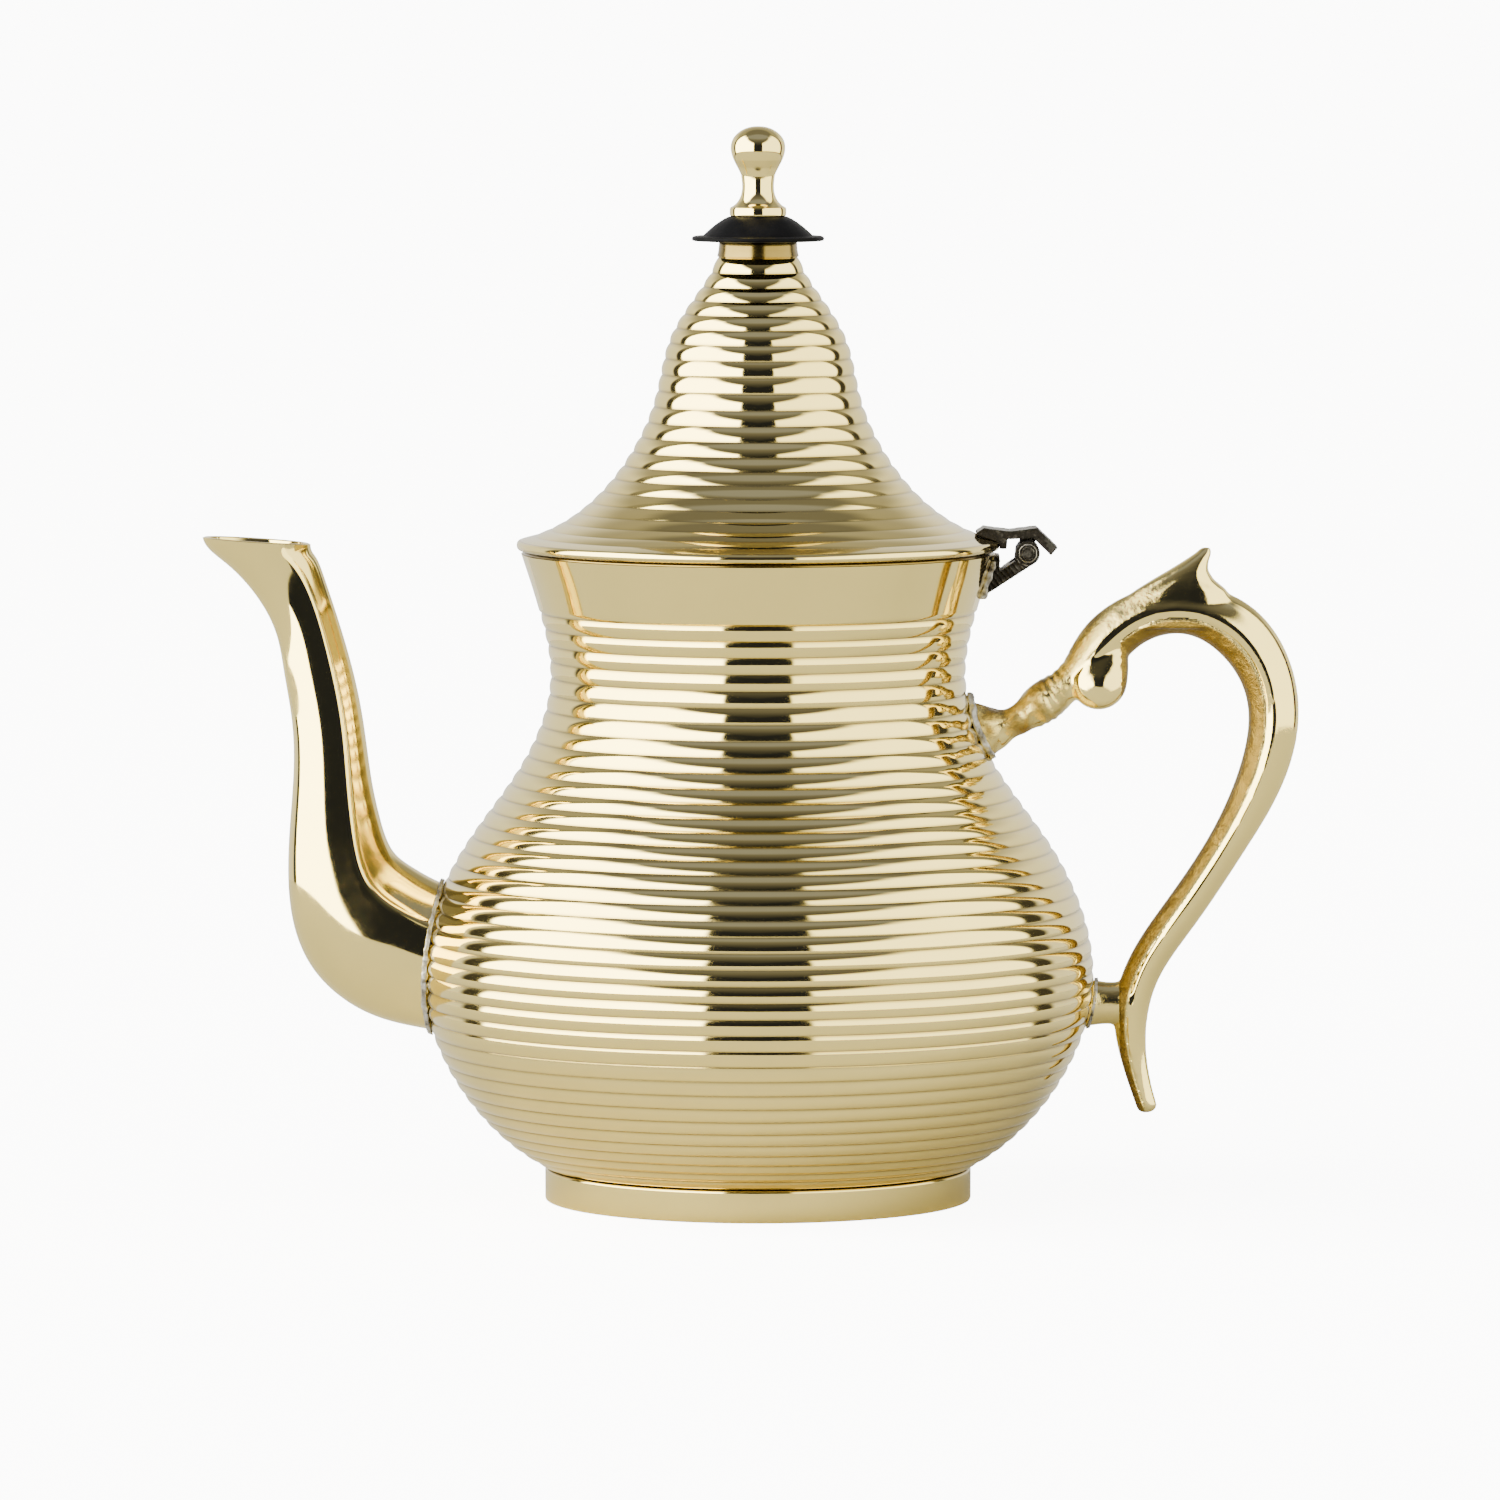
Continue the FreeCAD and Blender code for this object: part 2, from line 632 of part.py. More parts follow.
def make_stud():
    below = "Sizes.wall + Sizes.washer_thickness + Sizes.nut_thickness + Sizes.stud_tail"
    return bound("Part::Cylinder", "knob_stud", {
        "Radius": "Sizes.stud_radius",
        "Height": below + " + Sizes.hat_height + Sizes.stud_grip",
        "Placement.Base.z": CROWN + " - (" + below + ")"})


def make_washer():
    sizes = {
        "Height": "Sizes.washer_thickness",
        "Placement.Base.z": CROWN + " - Sizes.wall - Sizes.washer_thickness"}
    hole = "Sizes.stud_radius + Sizes.stud_clearance"
    outer = bound("Part::Cylinder", "washer_outer", dict(sizes, Radius="Sizes.washer_radius"))
    inner = bound("Part::Cylinder", "washer_hole", dict(sizes, Radius=hole))
    return cut("knob_washer", outer, inner)


def make_nut():
    sizes = {
        "Height": "Sizes.nut_thickness",
        "Placement.Base.z": CROWN + " - Sizes.wall - Sizes.washer_thickness - Sizes.nut_thickness"}
    outer = bound("Part::Prism", "nut_outer", dict(sizes, Circumradius="Sizes.nut_across_corners / 2"))
    outer.Polygon = 6
    hole = "Sizes.stud_radius + Sizes.thread_gap"
    inner = bound("Part::Cylinder", "nut_hole", dict(sizes, Radius=hole))
    return cut("knob_nut", outer, inner)


# The hinge: a two-cheek bracket on the pot, an arm on the lid, and a riveted pin. The outlines lie
# in the middle plane and are measured from the pin, outwards from the pot and up.

BRACKET_HEAD = (-58.0, 40.0, 160.0)
BRACKET_FOOT = [(-2.3, -1.3), (-5.1, -3.3), (-5.1, -0.5), (-13.0, -0.5), (-13.0, -7.1), (-6.9, -7.1)]
BRACKET_SLOT = [(-3.2, -9.0), (9.0, -9.0), (9.0, 9.0), (-3.2, 9.0)]
BRACKET_SEAM = [(-13.0, -8.1), (-5.9, -8.1), (-5.9, -1.4), (-13.0, -1.4)]
ARM_PLATE = [(-10.0, 2.3), (-9.2, 3.8), (-8.0, 4.6), (-3.3, 4.0), (1.6, 4.6), (5.4, 1.0),
             (4.2, -0.4), (0.95, 2.75), (-3.7, 2.55), (-3.9, 0.8), (-8.0, 0.8)]
ARM_WEB = [(-1.4, 0.0), (1.4, 0.0), (1.4, 2.9), (-1.4, 2.9)]


def pivot(dx, dz):
    """A point of the hinge outline, measured from the pin."""
    pin_x = lid_radius() + size("hinge_reach")
    pin_z = size("mouth_height") - size("hinge_drop")
    return flat(pin_x + dx, pin_z + dz)


def hinge_outline(places):
    return polygon([pivot(dx, dz) for dx, dz in places])


def polar(radius, degrees):
    return pivot(radius * math.cos(math.radians(degrees)), radius * math.sin(math.radians(degrees)))


def hinge_circle(radius):
    return [Part.Circle(pivot(0.0, 0.0), Vector(0, 0, 1), radius)]


def add_across(kind, body, name, edges, width):
    """Pad or pocket of an outline, to the same depth on both sides of the middle plane."""
    sketch = new_sketch(body, "XZ_Plane", name + "_outline")
    if len(edges) > 1:
        lay_outline(sketch, edges)
    else:
        sketch.addGeometry(edges[0])
    feature = body.newObject(kind, name)
    feature.Profile = sketch
    feature.SideType = "Symmetric"
    feature.setExpression("Length", width)
    body.Tip = feature


def make_hinge_bracket(pot):
    body = new_body("hinge_bracket_blank")
    eye = size("hinge_eye_radius")
    low, top, back = BRACKET_HEAD
    head = Part.Arc(polar(eye, low), polar(eye, top), polar(eye, back))
    ends = [head.EndPoint] + [pivot(dx, dz) for dx, dz in BRACKET_FOOT] + [head.StartPoint]
    edges = [head] + [Part.LineSegment(a, b) for a, b in zip(ends, ends[1:])]
    add_across("PartDesign::Pad", body, "hinge_cheeks", edges, "Sizes.hinge_width")
    add_across("PartDesign::Pocket", body, "hinge_slot", hinge_outline(BRACKET_SLOT),
               "Sizes.knuckle_width + 2 * Sizes.knuckle_clearance")
    add_across("PartDesign::Pocket", body, "hinge_pin_holes", hinge_circle(size("pin_radius")),
               "2 * Sizes.hinge_width")
    return body, cut("hinge_bracket", body, pot)


def make_bracket_seam():
    """Block round the bracket's foot, trimmed later to a bead."""
    body = new_body("bracket_seam_blank")
    add_across("PartDesign::Pad", body, "bracket_seam_pad", hinge_outline(BRACKET_SEAM),
               "Sizes.hinge_width + 2 * Sizes.bead")
    return body


def make_hinge_arm(lid_solid):
    body = new_body("hinge_arm_blank")
    hole = size("pin_radius") + size("pin_clearance")
    add_across("PartDesign::Pad", body, "arm_plate", hinge_outline(ARM_PLATE), "Sizes.hinge_width")
    add_across("PartDesign::Pad", body, "arm_web", hinge_outline(ARM_WEB), "Sizes.knuckle_width")
    add_across("PartDesign::Pad", body, "arm_eye", hinge_circle(size("knuckle_radius")),
               "Sizes.knuckle_width")
    add_across("PartDesign::Pocket", body, "arm_eye_hole", hinge_circle(hole),
               "2 * Sizes.knuckle_width")
    return cut("lid_hinge_arm", body, lid_solid)


def make_hinge_pin():
    """Pin across the cheeks, with a flat riveted head on each end."""
    across = {
        "Placement.Base.x": "Sizes.mouth_radius + Sizes.lid_overhang + Sizes.hinge_reach",
        "Placement.Base.z": "Sizes.mouth_height - Sizes.hinge_drop"}
    turn = Rotation(Vector(1, 0, 0), 90.0)
    shank = bound("Part::Cylinder", "pin_shank", dict(
        across, Radius="Sizes.pin_radius", Height="Sizes.hinge_width + Sizes.pin_head_height"))
    shank.Placement.Rotation = turn
    shank.setExpression("Placement.Base.y", "(Sizes.hinge_width + Sizes.pin_head_height) / 2")
    pieces = [shank]
    for label, place in (("pin_head_far", "Sizes.hinge_width / 2 + Sizes.pin_head_height"),
                         ("pin_head_near", "-Sizes.hinge_width / 2")):
        head = bound("Part::Cylinder", label, dict(
            across, Radius="Sizes.pin_head_radius", Height="Sizes.pin_head_height"))
        head.Placement.Rotation = turn
        head.setExpression("Placement.Base.y", place)
        pieces.append(head)
    return fused("hinge_pin", pieces)


pot = pot_solid("pot_trimmer", size("seam_gap"))
near_pot = pot_solid("pot_neighbourhood", size("seam_gap") + size("bead"))

spout_full, spout = make_spout(pot)
spout_grown = skin("spout_grown", [spout_section(name, size("bead")) for name, *_ in SPOUT])
spout_seam = make_seam("spout_solder", spout_grown, near_pot, spout_full, pot)

handle_full, handle = make_handle(pot)
foot_grown = skin("handle_foot_grown", handle_sections(size("bead"), len(UPPER_SEAM)))
upper_seam = make_seam("handle_upper_solder", foot_grown, near_pot, handle_full, pot)
peg_grown = make_handle_peg("handle_peg_grown", size("lower_bead"))
lower_seam = make_seam("handle_lower_solder", peg_grown, near_pot, handle_full, pot)

bracket_full, bracket = make_hinge_bracket(pot)
bracket_seam = make_seam("hinge_solder", make_bracket_seam(), near_pot, bracket_full, pot)

lid, collar_top = make_lid_shell()
lid_solid = make_lid_solid()
nodes = [
    make_body_shell(), make_foot_ring(), spout, spout_seam, handle, upper_seam, lower_seam,
    bracket, bracket_seam, make_hinge_pin(), lid, make_lid_collar(collar_top), make_hinge_arm(lid_solid),
    make_knob_hat(), make_knob(), make_stud(), make_washer(), make_nut(),
]

doc.recompute()
for item in doc.Objects:
    if "Invalid" in item.State or "Error" in item.State:
        raise RuntimeError("%s did not build: %s" % (item.Label, item.State))
for node in nodes:
    if node.Shape.isNull() or not node.Shape.isValid() or not node.Shape.Solids:
        raise RuntimeError("%s has no sound solid" % node.Label)

os.makedirs("parts", exist_ok=True)
for node in nodes:
    node.Shape.exportStep("parts/%s.step" % node.Label)
    print("%-22s solids %d volume %.1f" % (node.Label, len(node.Shape.Solids), node.Shape.Volume))
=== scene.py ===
import math

import bmesh
import bpy
import numpy as np
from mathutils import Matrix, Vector, kdtree, noise


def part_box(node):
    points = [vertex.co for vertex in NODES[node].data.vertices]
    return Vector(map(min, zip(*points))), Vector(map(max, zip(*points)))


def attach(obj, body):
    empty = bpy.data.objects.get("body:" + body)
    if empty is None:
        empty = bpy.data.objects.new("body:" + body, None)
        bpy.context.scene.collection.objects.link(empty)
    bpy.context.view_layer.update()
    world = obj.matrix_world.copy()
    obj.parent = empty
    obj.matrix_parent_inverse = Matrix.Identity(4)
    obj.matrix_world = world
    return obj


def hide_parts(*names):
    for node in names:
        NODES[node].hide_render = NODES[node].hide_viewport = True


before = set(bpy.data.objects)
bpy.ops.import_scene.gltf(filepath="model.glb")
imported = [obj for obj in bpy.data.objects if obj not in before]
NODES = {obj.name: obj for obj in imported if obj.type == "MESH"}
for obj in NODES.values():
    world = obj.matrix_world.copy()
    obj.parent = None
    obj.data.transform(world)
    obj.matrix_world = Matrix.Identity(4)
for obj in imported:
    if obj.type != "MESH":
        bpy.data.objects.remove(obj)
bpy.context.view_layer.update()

# Ribbed brass teapot: spun pot and lid, cast spout, handle and hinge, turned knob.
# Lengths are in millimetres until a mesh is made. An outline is a list of places
# (distance from the pot's axis, height). Tarnish is 0 on open metal and 1 in a groove; the same value
# also darkens the pot's lip and the lid's stub as painted shade, and the spout's side that faces
# the pot as a painted reflection.

MM = 0.001

# Spun pot and foot.
POT_LINE = [(43.3, 118.6), (39.304, 105.62), (37.9, 95.0), (42.593, 80.503), (54.0115, 63.826),
            (61.25, 40.5), (54.607, 20.697), (38.5, 6.0)]
POT_LIP = [(42.2, 118.2), (42.28, 118.45), (42.42, 118.58), (42.6, 118.58), (42.74, 118.48),
           (42.8, 118.3), (42.84, 118.14)]
POT_BASE = [(38.35, 6.22), (37.75, 6.22), (37.6, 5.98), (0.0, 5.98)]
# The pot's base is darkest at its rim, where it meets the foot ring.
POT_BASE_DARKENING = [1.4, 1.4, 1.0, 0.6, 0.4]
POT_RIBS = 43
PLAIN_RIBS = 4
POT_INSIDE_TOP = 118.0
POT_INSIDE_ROWS = 70
POT_WOBBLE = 0.03
RIB_DEPTH = 0.32
RIB_STEPS = 20
BAND_STEP = 4
RIB_SHARES = np.array([0.0, 0.035, 0.12, 0.24, 0.37, 0.5, 0.63, 0.76, 0.88, 0.965])
GROOVE_SHARE = 0.14
SHEET = 1.12
SHEET_MARKS = 24
# Painted shade: the pot's lip under the lid and the lid's stub under the hat are darkened for the shade in
# those gaps.
PAINTED_GAP_SHADE = 1.4
INSIDE_DIRT = 0.15
# The third column darkens the foot ring, most on its top where it meets the pot.
FOOT_RING = [(37.4, 0.3, 0.2), (37.7, 0.02, 0.3), (38.55, 0.02, 0.2), (38.8, 0.12, 0.0), (38.89, 0.36, 0.0),
             (38.9, 0.5, 0.0), (38.9, 0.65, 0.0), (38.9, 2.0, 0.0), (38.9, 4.0, 0.0), (38.9, 5.25, 0.0),
             (38.9, 5.4, 0.0), (38.89, 5.54, 0.3), (38.82, 5.78, 0.9), (38.6, 5.93, 1.4), (38.0, 5.97, 1.4),
             (37.4, 5.97, 1.0)]

# Round holes of the strainer behind the spout, in a six-sided group.
STRAINER_RINGS = 2
STRAINER_PITCH = 4.2
STRAINER_HEIGHT = 44.8
STRAINER_RADIUS = 1.4
STRAINER_WALL = 59.0
STRAINER_REACH = 16.0
STRAINER_SIDES = 28

# Spun lid with its collar.
LID_LINE = [(7.1, 174.85), (7.4625, 172.021), (11.015, 165.493), (16.199, 156.789), (18.591, 146.997),
            (23.4125, 136.008), (32.004, 126.108), (43.35, 120.45)]
LID_LINE_STEPS = 1200
LID_STUB = 171.95
LID_STUB_LINE = [(6.75, 174.84), (7.0, 174.75), (7.1, 174.5), (7.12, 174.0), (7.2, 173.2), (7.42, 172.1)]
LID_RIB_PITCH = 2.95
FLARE_RIBS = (8, 4, 1)
FLARE_DEPTHS = [1.0, 1.0, 0.45, 0.4]
LID_EDGE = [(43.62, 120.36), (43.85, 120.1), (43.95, 119.6), (43.85, 119.1), (43.62, 118.84), (43.3, 118.75)]
# Painted shade: the underside of the lid's edge is darkened for the shade in the gap over the pot's lip.
LID_EDGE_PAINTED_SHADE = [0.0, 0.0, 0.0, 0.5, 1.0, 1.4, 1.0, 1.0]
LID_BASE = 118.75
LID_INSIDE = (6.0, 39.2)
LID_INSIDE_ROWS = 80
LID_WOBBLE = 0.02
CROWN_TOP = 174.85
CROWN_SHEET = 0.8
CROWN_HOLE = 1.6
COLLAR_SHEET = 0.8
COLLAR_BEVEL = (0.2, 0.25)
COLLAR_DIRT = [0.1, 0.2, 0.2, 0.1, 0.5, 0.5]

# Hat: heights over the crown of the lid. Knob foot: heights over the hat.
HAT_TOP = 179.35
HAT_BRIM = [(1.6, 0.0), (11.6, 0.0), (11.95, 0.1), (12.05, 0.4), (11.95, 0.72), (11.6, 0.9), (10.5, 0.86)]
HAT_DOME = [(10.1, 0.9), (9.2, 1.75), (7.75, 2.97), (6.2, 4.0), (5.3, 4.42)]
HAT_DOME_ROWS = 18
HAT_CROWN = [(4.9, HAT_TOP), (1.6, HAT_TOP)]
KNOB_TOP = 195.65
KNOB_FOOT = [(0.0, 7.2), (1.52, 7.2), (1.52, 0.0), (4.9, 0.0), (5.1, 0.15), (5.15, 0.4), (5.15, 1.25),
             (5.05, 1.55)]
KNOB_WAIST = [(4.8, 181.05), (3.5, 182.3), (2.98, 183.7), (2.92, 185.4), (3.08, 186.8)]
KNOB_WAIST_ROWS = 26
KNOB_BALL = [(3.08, 186.8), (3.6, 187.9), (4.5, 189.7), (4.95, 191.5), (4.65, 193.2), (3.6, 194.5),
             (2.2, 195.3), (0.0, KNOB_TOP)]
KNOB_BALL_ROWS = 48
KNOB_SEAM = (188.2, 189.4)
KNOB_SEAM_DIRT = 0.35
KNOB_FOOT_DIRT = 0.6
TURNS = 224
KNOB_TURNS = 128

# Stud, nut and washer that hold the knob.
THREAD_PITCH = 0.5
THREAD_CORE = 1.22
THREAD_CREST = 1.5
THREAD_SIDES = 24
THREAD_ROWS = 4
NUT_BORE = 1.52
NUT_FACE = 2.6
NUT_CORNER = 3.1
NUT_BEVEL = 0.35
NUT_SIDES = 48
NUT_SHARP = 25.0
WASHER_HOLE = 1.6
WASHER_RADIUS = 4.2
WASHER_BEVEL = 0.15
WASHER_TURNS = 64

# Sections of the spout from root to lip: x, z, length, width, lean in degrees, and how far the
# section has gone from a plain oval to the ridged one.
SPOUT = [(-54.05, 43.2, 26.8, 23.0, 2.0, 0.0), (-60.4, 44.8, 27.0, 22.8, 8.0, 0.35),
         (-67.25, 47.4, 27.8, 22.4, 17.8, 0.8), (-73.75, 52.7, 26.0, 20.6, 34.1, 1.0),
         (-76.55, 59.3, 22.6, 18.7, 48.6, 1.0), (-77.35, 66.2, 18.4, 16.8, 64.7, 1.0),
         (-77.65, 75.1, 14.8, 14.9, 79.4, 1.0), (-78.45, 87.5, 12.9, 12.9, 81.9, 1.0),
         (-80.45, 98.1, 12.2, 11.2, 76.4, 1.0), (-84.65, 111.3, 12.4, 9.8, 66.0, 0.9),
         (-88.75, 116.9, 16.4, 11.1, 85.6, 0.5), (-91.05, 119.5, 19.4, 12.5, 92.6, 0.25),
         (-91.25, 120.3, 19.7, 12.9, 93.7, 0.2)]
SPOUT_WALL = 1.1
SPOUT_ROWS = 150
SPOUT_BORE_ROWS = 60
SPOUT_RIM_RISE = 0.25
SPOUT_RIM_SHARE = 0.75
# Painted reflection: the spout's side that faces the pot is toned towards dark brass for the pot mirrored in
# it.
SPOUT_PAINTED_REFLECTION = 0.4

# Sections of the handle from the neck to the tail: x, z, thickness, depth, ridged share.
HANDLE = [(33.6, 83.2, 12.0, 9.0, 0.0), (41.2, 85.8, 10.6, 8.6, 0.0), (46.4, 87.2, 5.4, 5.6, 0.1),
          (51.9, 90.9, 7.7, 7.2, 0.1), (55.9, 93.9, 6.5, 6.6, 0.3), (61.65, 100.1, 9.2, 8.0, 0.8),
          (67.55, 105.4, 9.4, 8.2, 1.0), (76.55, 107.9, 9.1, 8.8, 1.0), (85.65, 105.1, 10.2, 9.2, 1.0),
          (92.15, 97.1, 9.9, 9.2, 1.0), (93.95, 88.8, 9.3, 9.0, 1.0), (92.55, 79.9, 8.8, 8.6, 1.0),
          (86.15, 66.1, 7.2, 7.0, 1.0), (76.45, 51.4, 7.0, 6.8, 1.0), (70.45, 42.1, 6.7, 6.4, 1.0),
          (68.15, 34.4, 6.4, 6.2, 1.0), (68.45, 27.0, 5.1, 5.0, 1.0), (71.05, 16.9, 3.8, 3.6, 0.8)]
HANDLE_ROWS = 280
TAIL_ROUNDING = 1.3
TAIL_ANGLES = np.linspace(0.3, 1.45, 6)

# Thumb spur, one row for each height: z, left, right, depth.
SPUR = [(104.5, 62.0, 87.2, 9.0), (106.8, 63.3, 87.0, 9.0), (109.3, 65.9, 86.6, 8.8), (111.5, 68.9, 85.2, 8.2),
        (113.3, 71.8, 83.0, 7.5), (115.0, 74.7, 81.9, 6.6), (116.6, 77.3, 82.0, 5.5), (118.0, 79.4, 82.5, 4.3),
        (119.1, 80.7, 82.4, 2.8)]
SPUR_EDGE = 0.75
SPUR_SQUARE = 0.8
SPUR_TAPER = 0.8

# Scroll under the wrist, a drop pulled out towards the loop, and the peg of the lower foot.
SCROLL = (62.0, 94.8)
SCROLL_RADIUS = 5.2
SCROLL_DEPTH = 9.6
SCROLL_TILT = 0.1
SCROLL_RISE = 5.5
SCROLL_WAY = np.array([0.42, 0.9075])
SCROLL_NARROWING = 0.25
SCROLL_ROWS = 17
SCROLL_SQUARE = 4.6
SCROLL_END = 0.02
PEG_HEIGHT = 35.8
PEG_SIZE = (8.6, 6.4)
PEG_END = 68.15
PEG_ROWS = 14
PEG_WAIST = 0.9
PEG_FLARE = 0.55
CASTING_VOXEL = 0.3
CASTING_PASSES = 14
SMOOTHING = 0.5

# Marks on the handle: lumps and file marks of its neck, and where its metal was left unpolished.
UPPER_HALF = 70.0
NECK_END, NECK_FADE = 57.5, 4.0
NECK_LUMPS = (0.3, 0.4)
FILE_WAY = (0.83, 0.55)
FILE_PITCH = 1.5
FILE_DEPTH = 0.09
FILED_FROM, FILED_FADE = 50.5, 2.0
SPINE_STEPS = 400
STRIP_FROM, STRIP_FADE, STRIP_START = 0.3, 0.12, 66.0
NECK_DIRT, NECK_STAINS = 0.5, (1.2, 0.35)
WRIST_FROM, WRIST_FADE = -0.1, 0.3
WRIST_END, WRIST_REACH = 75.0, 14.0
WRIST_DIRT, WRIST_STAINS = 0.66, (0.5, 0.25)
PEG_DIRT, PEG_DIRT_TOP, PEG_DIRT_END = 0.12, 45.0, 66.5

# Half sections, from the side that faces the pot to the side that faces away.
SPOUT_ROOF = [(1.0, 0.0), (0.965, 0.25), (0.86, 0.47), (0.72, 0.66), (0.60, 0.79), (0.545, 0.85)]
SPOUT_EDGE = [(0.53, 0.885), (0.515, 0.93), (0.49, 0.965), (0.45, 0.985)]
SPOUT_SIDE = [(0.38, 0.995), (0.15, 1.0), (-0.1, 0.995), (-0.42, 0.925), (-0.72, 0.72), (-0.92, 0.42),
              (-1.0, 0.0)]
HANDLE_ROOF = [(1.0, 0.0), (0.96, 0.24), (0.84, 0.47), (0.6, 0.68), (0.34, 0.83)]
HANDLE_EDGE = [(0.28, 0.875), (0.23, 0.92), (0.15, 0.965), (0.07, 0.99)]
HANDLE_SIDE = [(0.0, 0.995), (-0.12, 0.97), (-0.38, 0.85), (-0.65, 0.64), (-0.86, 0.36), (-1.0, 0.0)]
ROOF_STEPS = 16
SIDE_STEPS = 30
SEAT_DEPTH = 0.25
FINE_STEPS = 500
ROUND = np.linspace(0.0, 2.0 * math.pi, 49)[:-1]

# Hinge: lumps are given as (height, fineness).
PIN = (49.0, 118.3)
HINGE_VOXEL, HINGE_PASSES = 0.1, 1
HINGE_WORN = 0.016
CHEEK_FACING = 0.7
BRACKET_LUMPS = (0.05, 1.3)
PIN_BOSS = 2.2
PIN_RING, PIN_RING_HEIGHT, PIN_BOSS_HOLLOW = (1.15, 1.65), 0.22, -0.05
CHEEK_FILE_WAY, CHEEK_FILE_PITCH, CHEEK_FILE_DEPTH = (0.8, 0.6), 0.85, 0.13
ARM_LUMPS = (0.07, 1.1)
EYE_REACH, EYE_FREE = 1.2, -0.06
ARM_NOTCH_PITCH, ARM_NOTCH_DEPTH = 2.2, 0.05
SHANK_FREE = -0.05
RIVET_LUMPS = (0.03, 1.2)
# Painted light: hinge faces that look up are kept lighter, as if lit from above.
PAINTED_LIT_TOP_FACING, PAINTED_LIT_TOP_DARK = 0.75, 0.4

# Solder: CAD node, piece, lumps, and how far it stands out from the solid.
SOLDER = [("spout_solder", "spout_seam_solder", (0.3, 0.9), -0.16),
          ("handle_upper_solder", "handle_neck_solder", (0.35, 0.7), 0.1),
          ("handle_lower_solder", "handle_foot_solder", (0.25, 0.9), -0.3),
          ("hinge_solder", "hinge_foot_solder", (0.35, 0.7), 0.1)]
SOLDER_VOXEL, SOLDER_PASSES = 0.16, 3


# Smooth lines.

def slopes_through(at, places):
    """Slopes of the smooth line that passes each place at its own distance."""
    count = len(at)
    steps = np.diff(at)
    system = np.zeros((count, count))
    wanted = np.zeros(places.shape)
    rise = np.diff(places, axis=0) / steps[:, None]
    system[0, 0] = system[-1, -1] = 1.0
    wanted[0] = np.polyfit(at[:4] - at[0], places[:4], 3)[-2]
    wanted[-1] = np.polyfit(at[-4:] - at[-1], places[-4:], 3)[-2]
    for i in range(1, count - 1):
        system[i, i - 1] = 1.0 / steps[i - 1]
        system[i, i] = 2.0 / steps[i - 1] + 2.0 / steps[i]
        system[i, i + 1] = 1.0 / steps[i]
        wanted[i] = 3.0 * (rise[i - 1] / steps[i - 1] + rise[i] / steps[i])
    return np.linalg.solve(system, wanted)


def line_at(at, places, slopes, where):
    """Places on that smooth line."""
    i = np.clip(np.searchsorted(at, where, side="right") - 1, 0, len(at) - 2)
    step = (at[i + 1] - at[i])[:, None]
    t = (where - at[i])[:, None] / step
    return ((2 * t ** 3 - 3 * t ** 2 + 1) * places[i] + (t ** 3 - 2 * t ** 2 + t) * step * slopes[i]
            + (3 * t ** 2 - 2 * t ** 3) * places[i + 1] + (t ** 3 - t ** 2) * step * slopes[i + 1])


def distances(places):
    """How far along a line each of its places lies."""
    return np.concatenate([[0.0], np.cumsum(np.linalg.norm(np.diff(places, axis=0), axis=1))])


def evenly(line, count):
    """count evenly spaced places on a finely stepped line."""
    along = distances(line)
    even = np.linspace(0.0, along[-1], count)
    return np.column_stack([np.interp(even, along, line[:, k]) for k in range(line.shape[1])])


def smooth_line(places, count):
    """count evenly spaced places on the smooth line through the given ones."""
    places = np.asarray(places, float)
    at = distances(places)
    fine = np.linspace(0.0, at[-1], 40 * len(places))
    return evenly(line_at(at, places, slopes_through(at, places), fine), count)


def outward(line):
    """Unit normals of an outline that runs downwards, away from the axis."""
    run = np.gradient(line, axis=0)
    run /= np.linalg.norm(run, axis=1)[:, None]
    return np.column_stack([-run[:, 1], run[:, 0]])


def pairs(line):
    return [tuple(place) for place in line]


def lifted(outline, height):
    return [(radius, height + above) for radius, above in outline]


def fade(value, width):
    """0 to 1 as value goes from 0 to width."""
    return min(1.0, max(0.0, value / width))


def lumps(place, size):
    """Soft unevenness of a given (height, fineness)."""
    return size[0] * noise.noise(place * size[1])


POT_OUTLINE = smooth_line(POT_LINE, 600)


def pot_radius(height):
    """Radius of the pot over its rib crests."""
    return np.interp(height, POT_OUTLINE[::-1, 1], POT_OUTLINE[::-1, 0])


# Meshes.

SHARP_EDGE = 40.0
SAME_PLACE = 1e-7
ON_AXIS = 1e-6
WOBBLE_FINENESS = 0.13
WOBBLE_FULL = 20.0


def show(name, mesh):
    piece = bpy.data.objects.new(name, mesh)
    bpy.context.scene.collection.objects.link(piece)
    return piece


def mark_tarnish_and_painted_light(mesh, values):
    mesh.attributes.new("groove", "FLOAT", "POINT").data.foreach_set("value", np.asarray(values, float))


def new_piece(name, verts, faces, tarnish_and_painted_light=None):
    """A smooth-shaded mesh object with sharp edges where its faces turn sharply."""
    mesh = bpy.data.meshes.new(name)
    mesh.from_pydata([tuple(MM * c for c in v) for v in verts], [], faces)
    if tarnish_and_painted_light is not None:
        mark_tarnish_and_painted_light(mesh, tarnish_and_painted_light)
    piece = show(name, mesh)
    tidy_mesh(piece)
    return piece


def tidy_mesh(piece, sharp=SHARP_EDGE):
    edit = bmesh.new()
    edit.from_mesh(piece.data)
    bmesh.ops.remove_doubles(edit, verts=edit.verts, dist=SAME_PLACE)
    bmesh.ops.recalc_face_normals(edit, faces=edit.faces)
    edit.to_mesh(piece.data)
    edit.free()
    piece.data.shade_smooth()
    piece.data.set_sharp_from_angle(angle=math.radians(sharp))


def apply_modifiers(piece):
    """Bake a piece's modifiers into its mesh."""
    bpy.context.view_layer.update()
    view = piece.evaluated_get(bpy.context.evaluated_depsgraph_get())
    mesh = bpy.data.meshes.new_from_object(view)
    piece.modifiers.clear()
    old = piece.data
    piece.data = mesh
    bpy.data.meshes.remove(old)


